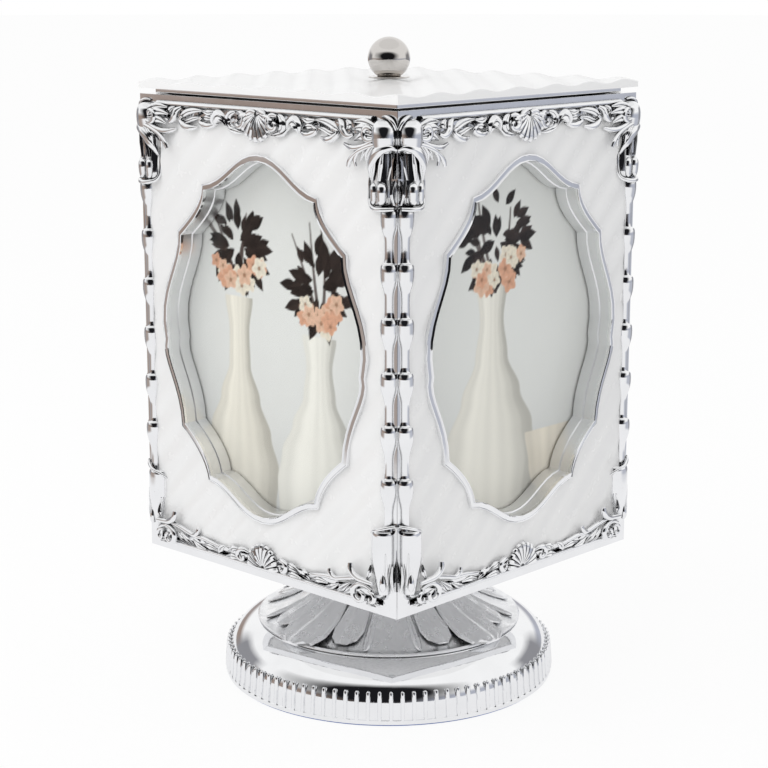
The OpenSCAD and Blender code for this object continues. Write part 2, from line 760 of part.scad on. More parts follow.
// Flared skirt between the base and the box, with four large and eight small leaves
module leaf_skirt() {
    color("silver") difference() {
        union() {
            skirt_body(0);
            intersection() {
                rotate_extrude() polygon(concat([[0, base_side_h]], [[leaf_reach, base_side_h]],
                    skirt_curve(leaf_reach, base_h, collar_r + leaf_t, skirt_top + leaf_t),
                    [[0, skirt_top]]));
                translate([0, 0, base_side_h]) linear_extrude(skirt_top - base_side_h) union() {
                    for (turn = [0:90:270]) rotate([0, 0, turn]) {
                        leaf_outline(large_leaf_w, leaf_reach);
                        for (s = [-1, 1]) rotate([0, 0, s * small_leaf_turn])
                            leaf_outline(small_leaf_w, leaf_reach * small_leaf_reach_share);
                    }
                }
            }
        }
        rotate_extrude() polygon(concat([[0, 0]], dome(0, 0), [[0, base_h]]));
        difference() {
            rotate_extrude() polygon(concat([[0, base_h - over]],
                [[skirt_r - skirt_wall * skirt_lining_share, base_h - over]],
                skirt_curve(skirt_r - skirt_wall * skirt_lining_share, base_h, collar_r - skirt_wall,
                            skirt_top - collar_t), [[0, skirt_top - collar_t]]));
            around(screw_count, skirt_boss_place_r, 45)
                translate([0, 0, base_h - 2 * over]) cylinder(r = boss_r, h = skirt_top);
        }
        around(screw_count, skirt_boss_place_r, 45)
            translate([0, 0, base_h - over]) cylinder(r = screw_r + run_gap, h = screw_bite / 2 + over);
        translate([0, 0, base_h]) cylinder(r = spindle_r + seat_gap, h = skirt_top);
    }
}

module skirt_screws() {
    color("silver") around(screw_count, skirt_boss_place_r, 45)
        translate([0, 0, base_h - base_wall])
            screw(screw_r, screw_head_r, screw_head_h, base_wall + screw_bite / 2 - seat_gap);
}

// One rib: an upright bar with a rounded top, sunk into the side that it leans along
module rib() {
    half = rib_w / 2;
    translate([base_r + rib_proud, 0, pad_t + rib_foot]) rotate([0, -rib_lean, 0]) rotate([90, 0, -90])
        linear_extrude(rib_w + rib_proud)
            polygon([[-half, 0], [half, 0], [half, rib_h - half], [half / 2, rib_h], [-half / 2, rib_h],
                     [-half, rib_h - half]]);
}

// Hollow plated base: a ribbed side that curves in to a flat top
module base_shell() {
    color("silver") difference() {
        union() {
            rotate_extrude() polygon(concat([[0, pad_t]], dome(0, pad_t), [[0, base_h]]));
            around(rib_count, 0) rib();
        }
        difference() {
            rotate_extrude() polygon(concat([[0, -over]], dome(base_wall, -over), [[0, base_h - base_wall]]));
            around(screw_count, boss_place_r)
                translate([0, 0, plate_top]) cylinder(r = boss_r, h = base_h);
        }
        around(screw_count, boss_place_r)
            translate([0, 0, plate_top - over]) cylinder(r = screw_r + run_gap, h = screw_bite + over);
        around(screw_count, skirt_boss_place_r, 45)
            translate([0, 0, pad_t]) cylinder(r = screw_r + run_gap, h = base_h);
        translate([0, 0, pad_t]) cylinder(r = spindle_r + seat_gap, h = base_h);
    }
}

module base_plate() {
    color("dimgray") difference() {
        translate([0, 0, pad_t]) cylinder(r = base_r - side_draft - base_wall - seat_gap, h = base_plate_t);
        around(screw_count, boss_place_r) translate([0, 0, pad_t - over]) {
            cylinder(r = screw_r + run_gap, h = base_plate_t + 2 * over);
            cylinder(r = screw_head_r + run_gap, h = screw_head_h + over);
        }
    }
}

module base_screws() {
    color("silver") around(screw_count, boss_place_r) translate([0, 0, pad_t + screw_head_h])
        screw(screw_r, screw_head_r, screw_head_h, base_plate_t - screw_head_h + screw_bite - seat_gap);
}

module base_pad() {
    color("royalblue") cylinder(r = base_r - pad_edge, h = pad_t);
}

module lid_plate() {
    half = box_half - lid_plate_inset;
    rim = back_half - 2 * free_gap;
    color("silver") difference() {
        union() {
            translate([-half, -half, lid_z]) cube([2 * half, 2 * half, lid_plate_t]);
            difference() {
                translate([-rim, -rim, lid_z - lid_rim_h]) cube([2 * rim, 2 * rim, lid_rim_h + over]);
                translate([frame_wall - rim, frame_wall - rim, lid_z - lid_rim_h - over])
                    cube([2 * (rim - frame_wall), 2 * (rim - frame_wall), lid_rim_h + over]);
            }
        }
        translate([0, 0, lid_z - over]) cylinder(r = screw_r + run_gap, h = lid_plate_t + 2 * over);
    }
}

// White lid with soft ripples that run from the front corner to the back corner
module lid_top() {
    reach = lid_w * sqrt(2) / 2 + ripple_pitch;
    waves = ceil(reach / ripple_pitch);
    color("white") difference() {
        intersection() {
            translate([-lid_half, -lid_half, lid_top_z]) cube([lid_w, lid_w, lid_t + 2 * ripple_rise]);
            rotate([0, 0, 45]) translate([0, reach, lid_top_z]) rotate([90, 0, 0]) linear_extrude(2 * reach)
                ripples(ripple_pitch, ripple_rise, lid_t, ripple_steps, waves);
        }
        translate([0, 0, lid_top_z - over])
            cylinder(r = screw_r + run_gap, h = lid_t + 2 * ripple_rise + 2 * over);
    }
}

module knob_washer() {
    color("silver") translate([0, 0, washer_z]) ring(washer_r, screw_r + run_gap, washer_t);
}

module ball_knob() {
    color("silver") difference() {
        intersection() {
            translate([0, 0, ball_z]) sphere(r = ball_r);
            translate([-ball_r, -ball_r, washer_z + washer_t]) cube([ball_d, ball_d, ball_d]);
        }
        translate([0, 0, washer_z + washer_t - over]) cylinder(r = screw_r + run_gap, h = knob_bite + over);
    }
}

module knob_screw() {
    color("silver") translate([0, 0, lid_z])
        screw(screw_r, screw_head_r, screw_head_h, washer_z + washer_t + knob_bite - seat_gap - lid_z);
}

module side_piece(name, side) {
    turn = 90 * search([side], SIDES)[0];
    rotate([0, 0, turn]) {
        if (name == "side_frame") side_frame();
        if (name == "wave_panel") wave_panel();
        if (name == "window_bezel") window_bezel();
        if (name == "clear_cover") clear_cover();
        if (name == "photo_card") photo_card();
        if (name == "back_board") back_board();
    }
}

base_pad();
base_plate();
base_shell();
base_screws();
leaf_skirt();
skirt_screws();
spindle();
lower_race();
ball_cage();
bearing_balls();
spindle_washer();
spindle_nut();
upper_race();
floor_plate();
turntable_hub();
hub_screws();
corner_posts();
corner_screws();
lid_plate();
lid_top();
knob_washer();
ball_knob();
knob_screw();
side_piece("side_frame", "front");  // side_frame_front
side_piece("side_frame", "right");  // side_frame_right
side_piece("side_frame", "back");  // side_frame_back
side_piece("side_frame", "left");  // side_frame_left
side_piece("wave_panel", "front");  // wave_panel_front
side_piece("wave_panel", "right");  // wave_panel_right
side_piece("wave_panel", "back");  // wave_panel_back
side_piece("wave_panel", "left");  // wave_panel_left
side_piece("window_bezel", "front");  // window_bezel_front
side_piece("window_bezel", "right");  // window_bezel_right
side_piece("window_bezel", "back");  // window_bezel_back
side_piece("window_bezel", "left");  // window_bezel_left
side_piece("clear_cover", "front");  // clear_cover_front
side_piece("clear_cover", "right");  // clear_cover_right
side_piece("clear_cover", "back");  // clear_cover_back
side_piece("clear_cover", "left");  // clear_cover_left
side_piece("photo_card", "front");  // photo_card_front
side_piece("photo_card", "right");  // photo_card_right
side_piece("photo_card", "back");  // photo_card_back
side_piece("photo_card", "left");  // photo_card_left
side_piece("back_board", "front");  // back_board_front
side_piece("back_board", "right");  // back_board_right
side_piece("back_board", "back");  // back_board_back
side_piece("back_board", "left");  // back_board_left
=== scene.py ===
"""Rotating photo frame: the moulded, plated and printed pieces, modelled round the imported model.

Each piece is drawn in millimetres by one operator, shrunk to metres when it is finished, and
carried by the body that it belongs to. The four sides are one side drawn once and turned.
"""
from contextlib import contextmanager
from math import atan2, ceil, cos, exp, pi, radians, sin, sqrt

import bpy
import numpy as np
from bpy.props import FloatProperty, FloatVectorProperty, IntProperty, PointerProperty
from mathutils import Matrix, Vector


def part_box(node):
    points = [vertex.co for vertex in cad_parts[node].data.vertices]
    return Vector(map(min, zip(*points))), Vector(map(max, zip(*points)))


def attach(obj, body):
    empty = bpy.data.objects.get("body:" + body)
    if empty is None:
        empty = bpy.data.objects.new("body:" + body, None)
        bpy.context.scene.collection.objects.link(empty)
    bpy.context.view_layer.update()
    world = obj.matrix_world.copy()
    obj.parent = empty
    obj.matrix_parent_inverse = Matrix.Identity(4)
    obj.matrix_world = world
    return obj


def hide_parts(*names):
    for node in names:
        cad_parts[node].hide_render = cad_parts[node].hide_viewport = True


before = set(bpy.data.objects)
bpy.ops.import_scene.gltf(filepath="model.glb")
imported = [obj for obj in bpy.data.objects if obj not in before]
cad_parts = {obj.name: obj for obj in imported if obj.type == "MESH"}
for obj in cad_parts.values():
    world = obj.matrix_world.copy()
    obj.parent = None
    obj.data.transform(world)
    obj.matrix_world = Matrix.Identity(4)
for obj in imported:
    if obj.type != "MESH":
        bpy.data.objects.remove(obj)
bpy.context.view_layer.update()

bl_info = {
    "name": "Rotating Photo Frame",
    "version": (1, 0, 0),
    "blender": (4, 5, 0),
    "location": "View3D > Sidebar > Photo Frame",
    "description": "Models the pieces of a four-sided turning photo frame",
    "category": "Object",
}

MM = 0.001
SIDES = ("front", "right", "back", "left")


def node_box(node):
    """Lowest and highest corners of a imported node, in millimetres."""
    low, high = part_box(node)
    return low / MM, high / MM


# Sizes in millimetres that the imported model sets
LID_OVERHANG = 0.5
LID_LOW, LID_HIGH = node_box("lid_top")
BOX_HALF = LID_HIGH.x - LID_OVERHANG
BOX_FOOT = node_box("side_frame_front")[0].z
BOX_TOP = node_box("side_frame_front")[1].z
FRAME_DEPTH = 13
CARD_LOW, CARD_HIGH = node_box("photo_card_front")
COVER_Y = node_box("clear_cover_front")[0].y
WINDOW_Z = (CARD_LOW.z + CARD_HIGH.z) / 2
WINDOW_HALF_W = CARD_HIGH.x - 2
WINDOW_HALF_H = (CARD_HIGH.z - CARD_LOW.z) / 2 - 10
PANEL_BACK_Y = node_box("wave_panel_front")[1].y
PLATE_LOW, PLATE_HIGH = node_box("lid_plate")
SKIRT_TOP = node_box("leaf_skirt")[1].z
BALL_LOW, BALL_HIGH = node_box("ball_knob")
WASHER_LOW, WASHER_HIGH = node_box("knob_washer")

# Front of the side frame: strips, ornament bands and stiles
RAIL_TOP_H = 5
RAIL_BOTTOM_H = 4.5
BAND_H = 8
FRONT_BAND_H = 5.6
BAND_INSET = 1.5
FRONT_T = 2
STILE_W = 8
FRAME_WALL = 2
PANEL_PLANE = BOX_HALF - BAND_INSET - FRONT_T
# The white panel swells out over the stiles, up to the beads of the columns
PANEL_FRONT = BOX_HALF + 1.5
PANEL_HALF_W = BOX_HALF - 6.2
PANEL_FOOT = BOX_FOOT + RAIL_BOTTOM_H + FRONT_BAND_H - 0.4
PANEL_HEAD = BOX_TOP - RAIL_TOP_H - FRONT_BAND_H + 0.4

# Window outline, right-hand half from the top down: each row is one sweep between two cusps
OVAL_SHARES = (
    ((0, 1), (0.23, 1), (0.33, 0.83), (0.56, 0.81)),
    ((0.56, 0.81), (0.56, 0.71), (0.70, 0.62), (0.82, 0.54)),
    ((0.82, 0.54), (0.81, 0.35), (1.08, 0.20), (0.985, -0.08)),
    ((0.985, -0.08), (1.04, -0.19), (0.83, -0.33), (0.82, -0.56)),
    ((0.82, -0.56), (0.70, -0.63), (0.57, -0.72), (0.545, -0.835)),
    ((0.545, -0.835), (0.33, -0.85), (0.23, -1), (0, -1)),
)


class FrameSizes(bpy.types.PropertyGroup):
    """Sizes of the moulded detail"""
    bead_count: IntProperty(
        name="Beads", description="Beads on one corner column", default=6, min=1)
    bead_radius: FloatProperty(
        name="Bead radius", description="Radius of a bead at its shoulder",
        default=0.00385, unit="LENGTH")
    waist_radius: FloatProperty(
        name="Waist radius", description="Radius of a column between two beads",
        default=0.002, unit="LENGTH")
    panel_ripple: FloatProperty(
        name="Panel ripple", description="Depth of the ripples of the white panels",
        default=0.0008, unit="LENGTH")
    panel_pitch: FloatProperty(
        name="Panel pitch", description="Distance from one ripple of a panel to the next",
        default=0.0125, unit="LENGTH")
    lid_rise: FloatProperty(
        name="Lid ripple", description="Height of a ripple of the lid above mid level",
        default=0.00075, unit="LENGTH")
    lid_pitch: FloatProperty(
        name="Lid pitch", description="Distance from one ripple of the lid to the next",
        default=0.0177, unit="LENGTH")
    rib_count: IntProperty(
        name="Ribs", description="Ribs round the base", default=94, min=3)
    edge_round: FloatProperty(
        name="Edge rounding", description="Radius of the moulded edges",
        default=0.00035, unit="LENGTH")
    print_grain: FloatProperty(
        name="Print grain", description="Size of one dot of a printed photograph",
        default=0.0006, unit="LENGTH")


class FrameFinish(bpy.types.PropertyGroup):
    """Colours and gloss of the finishes"""
    plating: FloatVectorProperty(
        name="Plating", description="Colour of the bright plating", subtype="COLOR",
        default=(0.90, 0.905, 0.915))
    nickel: FloatVectorProperty(
        name="Nickel", description="Colour of the ball and its washer", subtype="COLOR",
        default=(0.66, 0.635, 0.61))
    pearl: FloatVectorProperty(
        name="Pearl white", description="Colour of the rippled panels", subtype="COLOR",
        default=(0.88, 0.88, 0.88))
    lid_white: FloatVectorProperty(
        name="Lid white", description="Colour of the rippled lid", subtype="COLOR",
        default=(0.93, 0.93, 0.93))
    foam: FloatVectorProperty(
        name="Foam blue", description="Colour of the pad under the base", subtype="COLOR",
        default=(0.14, 0.24, 0.62))
    plating_gloss: FloatProperty(
        name="Plating roughness", description="Roughness of the plating", subtype="FACTOR",
        default=0.05, min=0, max=1)


class StageLook(bpy.types.PropertyGroup):
    """The plain stage, its light and the camera"""
    fill: FloatProperty(
        name="Fill light", description="Strength of the even light from all round", default=0.8)
    ceiling: FloatProperty(
        name="Ceiling", description="Brightness of the ceiling that shows in the plating",
        default=0.9)
    lamp: FloatProperty(
        name="Lamp", description="Power of the large soft lamp, in watts", default=9)
    lens: FloatProperty(
        name="Lens", description="Focal length of the camera, in millimetres", default=90)
    camera_place: FloatVectorProperty(
        name="Camera place", description="Where the camera stands", subtype="TRANSLATION",
        unit="LENGTH", default=(0.6046, -0.6431, 0.3336))
    camera_pitch: FloatProperty(
        name="Camera pitch", description="How far the camera looks down", subtype="ANGLE",
        default=radians(12.39))
    camera_turn: FloatProperty(
        name="Camera turn", description="How far the camera turns from +Y", subtype="ANGLE",
        default=radians(43.38))


def sizes():
    return bpy.context.scene.photo_frame_sizes


def finish():
    return bpy.context.scene.photo_frame_finish


# Modelling helpers

def alone(piece):
    """Selects one piece, and nothing else, and makes it the active one."""
    bpy.ops.object.select_all(action="DESELECT")
    piece.select_set(True)
    bpy.context.view_layer.objects.active = piece
    return piece


def joined(parts):
    """Joins the parts into the first of them."""
    piece = alone(parts[0])
    for part in parts[1:]:
        part.select_set(True)
    if len(parts) > 1:
        bpy.ops.object.join()
    return piece


def with_modifier(piece, kind, **settings):
    """Adds a modifier to a piece and applies it."""
    alone(piece)
    modifier = piece.modifiers.new(kind.title(), kind)
    for key, value in settings.items():
        setattr(modifier, key, value)
    bpy.ops.object.modifier_apply(modifier=modifier.name)
    return piece


@contextmanager
def editing(piece):
    """Edit mode on one piece, with all of it selected."""
    alone(piece)
    bpy.ops.object.mode_set(mode="EDIT")
    bpy.ops.mesh.select_all(action="SELECT")
    yield
    bpy.ops.object.mode_set(mode="OBJECT")


def cleaned(piece, gap=0.001):
    """Merges doubled points and turns all faces outwards."""
    with editing(piece):
        bpy.ops.mesh.remove_doubles(threshold=gap)
        bpy.ops.mesh.normals_make_consistent(inside=False)
    return piece


def block(low, high, rounding=0):
    """A box between two corners, with its edges rounded."""
    bpy.ops.object.select_all(action="DESELECT")
    low, high = Vector(low), Vector(high)
    bpy.ops.mesh.primitive_cube_add(size=1, location=(low + high) / 2, scale=high - low)
    bpy.ops.object.transform_apply(location=True, scale=True)
    piece = bpy.context.object
    if rounding:
        with_modifier(piece, "BEVEL", width=rounding, segments=3, limit_method="ANGLE")
    return piece


def upright_grid(across, up):
    """An upright grid that faces -Y, one unit wide and high, with this many cells each way."""
    bpy.ops.object.select_all(action="DESELECT")
    bpy.ops.mesh.primitive_grid_add(
        x_subdivisions=across, y_subdivisions=up, size=1, rotation=(pi / 2, 0, 0))
    bpy.ops.object.transform_apply(rotation=True)
    return bpy.context.object


def cut(piece, cutter):
    """Cuts a piece by another one, which is then removed."""
    with_modifier(piece, "BOOLEAN", object=cutter, operation="DIFFERENCE", solver="EXACT")
    bpy.data.objects.remove(cutter)
    return piece


def turned(profile, segments=48):
    """A shape turned about the Z axis: a ring is extruded and resized from point to point."""
    bpy.ops.object.select_all(action="DESELECT")
    radius, height = profile[0]
    bpy.ops.mesh.primitive_circle_add(
        vertices=segments, radius=radius, location=(0, 0, height), fill_type="NGON")
    bpy.ops.object.transform_apply(location=True)
    piece = bpy.context.object
    with editing(piece):
        for next_radius, next_height in profile[1:]:
            grow = next_radius / radius
            bpy.ops.mesh.extrude_region_move(
                TRANSFORM_OT_translate={"value": (0, 0, next_height - height)})
            bpy.ops.transform.resize(value=(grow, grow, 1), center_override=(0, 0, next_height))
            radius, height = next_radius, next_height
    return cleaned(piece)


def moved(piece, matrix):
    piece.data.transform(matrix)
    return piece


def copied(piece, matrix=Matrix.Identity(4)):
    """A copy of a piece with a mesh of its own, moved by a matrix."""
    twin = piece.copy()
    twin.data = piece.data.copy()
    bpy.context.collection.objects.link(twin)
    return moved(twin, matrix)


def mix(a, b, t):
    return a + (b - a) * t


def bezier(row, t):
    """A point at t on the sweep that four control points give."""
    weights = ((1 - t) ** 3, 3 * t * (1 - t) ** 2, 3 * t * t * (1 - t), t ** 3)
    return tuple(sum(w * p[k] for w, p in zip(weights, row)) for k in range(2))


def through(points, steps):
    """A smooth line through the points, with steps on each stretch between two of them."""
    line = []
    for k in range(len(points) - 1):
        rows = [points[max(0, min(len(points) - 1, k + j))] for j in (-1, 0, 1, 2)]
        for i in range(steps):
            t = i / steps
            line.append(tuple(0.5 * (2 * b + (c - a) * t + (2 * a - 5 * b + 4 * c - d) * t * t
                                     + (3 * b - a - 3 * c + d) * t ** 3)
                              for a, b, c, d in zip(*rows)))
    return line + [tuple(points[-1])]


def outline_piece(points, name="outline"):
    """A closed flat outline in the XY plane, to be used as the section of strokes."""
    curve = bpy.data.curves.new(name, "CURVE")
    curve.dimensions = "2D"
    spline = curve.splines.new("POLY")
    spline.points.add(len(points) - 1)
    for point, (x, y) in zip(spline.points, points):
        point.co = (x, y, 0, 1)
    spline.use_cyclic_u = True
    piece = bpy.data.objects.new(name, curve)
    bpy.context.collection.objects.link(piece)
    return piece


def whole_section(top, under):
    """A section from its right half: the top from its middle to its rim, and the underside."""
    left = [(-x, y) for x, y in top[:0:-1]]
    return (*left, *top, under, (-under[0], under[1]))


# Sections of carved strokes, as shares of a stroke's half width: a leaf with a groove between two
# swells, a broad leaf with flutes, and a plain petal
LEAF_SHARES = whole_section(
    ((0, 0.12), (0.16, 0.34), (0.5, 0.52), (0.86, 0.30), (1, -0.1)), (0.6, -0.5))
FLUTE_SHARES = whole_section(
    ((0, 0.20), (0.16, 0.14), (0.36, 0.06), (0.56, 0.12), (0.74, 0.05), (0.9, 0.09), (1, 0)),
    (0.6, -0.12))
PETAL_SECTION_SHARES = whole_section(
    ((0, 0.54), (0.5, 0.46), (0.85, 0.26), (1, 0)), (0.6, -0.4))


def bolder(paths, width, rise):
    """The same paths with wider and prouder strokes."""
    return [[(x, y, z + rise, half * width) for x, y, z, half in path] for path in paths]


def strokes(paths, shares=None, steps=5, roundness=2):
    """Carved strokes in the XY plane: each path lists across, up, height and half width."""
    bpy.ops.object.select_all(action="DESELECT")
    bpy.ops.curve.primitive_bezier_curve_add()
    piece = bpy.context.object
    curve = piece.data
    curve.splines.clear()
    for path in paths:
        spline = curve.splines.new("BEZIER")
        spline.bezier_points.add(len(path) - 1)
        for point, (x, y, z, half) in zip(spline.bezier_points, path):
            point.co = (x, y, z)
            point.radius = half
            point.handle_left_type = point.handle_right_type = "AUTO"
    curve.resolution_u = steps
    curve.twist_mode = "Z_UP"
    curve.use_fill_caps = True
    if shares:
        curve.bevel_mode = "OBJECT"
        curve.bevel_object = outline_piece(shares)
    else:
        curve.bevel_depth = 1
        curve.bevel_resolution = roundness
    bpy.ops.object.convert(target="MESH")
    if shares:
        bpy.data.objects.remove(curve.bevel_object)
    return cleaned(bpy.context.object)


def upright(piece):
    """Stands a piece drawn in the XY plane up on a side that faces -Y, at the box's foot."""
    stand = Matrix.Translation((0, -BOX_HALF, BOX_FOOT)) @ Matrix.Rotation(pi / 2, 4, "X")
    return moved(piece, stand)


def mirrored(piece):
    """Adds the other half of a side, mirrored about its middle."""
    return with_modifier(piece, "MIRROR", use_mirror_merge=False)


def finished(piece, name, body, material, node=None, turn=0.0, angle=40):
    """Shrinks a piece to metres, names and smooths it, and hangs it on its body."""
    alone(piece)
    bpy.ops.object.shade_smooth_by_angle(angle=radians(angle))
    with_modifier(piece, "WEIGHTED_NORMAL", keep_sharp=True)
    moved(piece, Matrix.Rotation(turn, 4, "Z") @ Matrix.Scale(MM, 4))
    piece.name = piece.data.name = name
    piece.data.materials.clear()
    piece.data.materials.append(material)
    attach(piece, body)
    if node:
        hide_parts(node)
    return piece


def on_four_sides(piece, kind, material, angle=40):
    """Hangs a side's piece and its three turned copies on the turning body."""
    for k, side in enumerate(SIDES):
        part = piece if k == 3 else copied(piece)
        finished(part, f"{kind}_{side}_shape", "turntable", material,
                 f"{kind}_{side}", k * pi / 2, angle)


# Materials

class Recipe:
    """A material whose nodes are added and linked one by one."""

    def __init__(self, name):
        self.material = bpy.data.materials.new(name)
        self.material.use_nodes = True
        self.nodes = self.material.node_tree.nodes
        self.links = self.material.node_tree.links
        self.shader = self.nodes["Principled BSDF"]
        self.place = self.nodes.new("ShaderNodeTexCoord").outputs["Object"]

    def add(self, kind, inputs=(), **settings):
        node = self.nodes.new("ShaderNode" + kind)
        for key, value in settings.items():
            setattr(node, key, value)
        for key, value in dict(inputs).items():
            self.set(node.inputs[key], value)
        return node

    def set(self, socket, value):
        if isinstance(value, bpy.types.NodeSocket):
            self.links.new(value, socket)
        else:
            socket.default_value = value

    def surface(self, **inputs):
        for key, value in inputs.items():
            self.set(self.shader.inputs[key.replace("_", " ")], value)
        return self

    def noise(self, scale, detail=3, stretch=(1, 1, 1)):
        spread = self.add("Mapping", {"Vector": self.place, "Scale": stretch})
        return self.add("TexNoise", {"Vector": spread.outputs[0], "Scale": scale,
                                     "Detail": detail}).outputs["Fac"]

    def spread(self, factor, low, high, start=0.3, end=0.7):
        """A value that follows a factor, from low to high."""
        return self.add("MapRange", {"Value": factor, "From Min": start, "From Max": end,
                                     "To Min": low, "To Max": high}).outputs["Result"]

    def math(self, operation, *values):
        """The result of a sum on values or sockets."""
        return self.add("Math", enumerate(values), operation=operation).outputs[0]

    def band(self, factor, *edges):
        """A value that rises from 0 to 1 between two edges and falls again between two more."""
        return self.math("MINIMUM", self.spread(factor, 0, 1, *edges[:2]),
                         self.spread(factor, 1, 0, *edges[2:]))

    def layer(self, factor, low, high):
        """A mix of two colours, each given as a value or as a socket."""
        node = self.add("Mix", data_type="RGBA")
        self.set(node.inputs["Factor"], factor)
        for key, colour in (("A", low), ("B", high)):
            self.set(node.inputs[key], (*colour, 1) if isinstance(colour, tuple) else colour)
        return node.outputs["Result"]

    def output(self, shader):
        self.set(self.nodes["Material Output"].inputs["Surface"], shader.outputs[0])

    def bump(self, height, strength, distance):
        node = self.add("Bump", {"Height": height, "Strength": strength, "Distance": distance})
        self.set(self.shader.inputs["Normal"], node.outputs["Normal"])
        return self


# Roughness of satin and of bright plating round the windows
SATIN = 0.38
BRIGHT = 0.05


def shaded(colour, share):
    return tuple(c * share for c in colour)


def clouded(recipe, colour):
    """The plating's colour, cloudy by a few per cent."""
    return recipe.layer(recipe.spread(recipe.noise(60), 0, 1), shaded(colour, 0.95), colour)


def plated(recipe, tint, roughness):
    """A recipe's material as metal over slightly wavy moulding."""
    recipe.surface(Base_Color=tint, Metallic=1.0, Roughness=roughness)
    recipe.bump(recipe.noise(140, 2), 0.12, 0.0002)
    return recipe.material


def plating_material(name, colour, roughness, crevice=0.0):
    """Bright plating, with painted shade that darkens it deep in its crevices."""
    recipe = Recipe(name)
    tint = clouded(recipe, colour)
    if crevice:
        # Painted shade: where ambient occlusion finds a crevice, the colour is mixed towards near black
        painted_shade_occlusion = recipe.add("AmbientOcclusion", {"Distance": crevice}, samples=4, only_local=True)
        depth = recipe.spread(painted_shade_occlusion.outputs["AO"], 0, 1, 0.36, 0.72)
        tint = recipe.layer(depth, (0.03, 0.028, 0.028), tint)
    return plated(recipe, tint, recipe.spread(recipe.noise(220), roughness * 0.7, roughness * 1.5))


def enamel_material(name, colour, roughness, coat):
    """Pearl white enamel under a clear coat."""
    recipe = Recipe(name)
    clouds = recipe.spread(recipe.noise(35), 0, 1)
    recipe.surface(Base_Color=recipe.layer(clouds, shaded(colour, 0.975), colour),
                   Roughness=recipe.spread(recipe.noise(160), roughness, roughness * 1.3),
                   Coat_Weight=coat, Coat_Roughness=0.08, Sheen_Weight=0.05)
    recipe.bump(recipe.noise(500, 2), 0.05, 0.0001)
    return recipe.material


def plain_material(name, colour, roughness, metallic=0.0, grain=300, stretch=(1, 1, 1), depth=0.1):
    """A matt or turned stock finish with a grain of its own."""
    recipe = Recipe(name)
    grains = recipe.noise(grain, 4, stretch)
    recipe.surface(Base_Color=recipe.layer(recipe.spread(grains, 0, 1), shaded(colour, 0.82), colour),
                   Metallic=metallic, Roughness=recipe.spread(grains, roughness * 0.85, roughness))
    recipe.bump(grains, depth, 0.0002)
    return recipe.material


def glass_material(name):
    """Thin clear sheet, hardly marked: what is behind it with a faint gloss over it."""
    recipe = Recipe(name)
    clear = recipe.add("BsdfTransparent", {"Color": (0.99, 0.995, 0.99, 1)})
    gloss = recipe.add("BsdfAnisotropic", {"Color": (1, 1, 1, 1), "Roughness": 0.03})
    share = recipe.spread(recipe.noise(90), 0.008, 0.014)
    recipe.output(recipe.add("MixShader", {0: share, 1: clear.outputs[0], 2: gloss.outputs[0]}))
    recipe.nodes.remove(recipe.shader)
    return recipe.material


def print_material(name):
    """Glossy photographic paper that shows the colours painted on its points."""
    recipe = Recipe(name)
    colour = recipe.add("VertexColor", layer_name="ink").outputs["Color"]
    recipe.surface(Base_Color=colour, Roughness=recipe.spread(recipe.noise(400), 0.28, 0.36),
                   Specular_IOR_Level=0.15)
    return recipe.material


def shared(maker, name, *values):
    """A material that is made once and then shared."""
    return bpy.data.materials.get(name) or maker(name, *values)


def plating():
    return shared(plating_material, "bright_plating", tuple(finish().plating),
                  finish().plating_gloss)


# Plating of the carved side frames, with painted shade deep in its crevices
def carved_plating():
    return shared(plating_material, "carved_plating", tuple(finish().plating),
                  finish().plating_gloss, 0.0032)


def lip_material(name, colour):
    """Bright plating on the lip of a window, satin on the wall behind the lip."""
    recipe = Recipe(name)
    way = recipe.add("VectorMath", {0: recipe.place}, operation="ABSOLUTE").outputs[0]
    parts = recipe.add("SeparateXYZ", {0: way}).outputs
    reach = recipe.math("MAXIMUM", parts["X"], parts["Y"])
    return plated(recipe, clouded(recipe, colour), recipe.spread(
        reach, SATIN, BRIGHT, (PANEL_FRONT - 0.6) * MM, (PANEL_FRONT + 0.5) * MM))


def nickel():
    return shared(plating_material, "nickel", tuple(finish().nickel), 0.07)


def pearl():
    return shared(enamel_material, "pearl_white", tuple(finish().pearl), 0.22, 0.4)


# Side frames

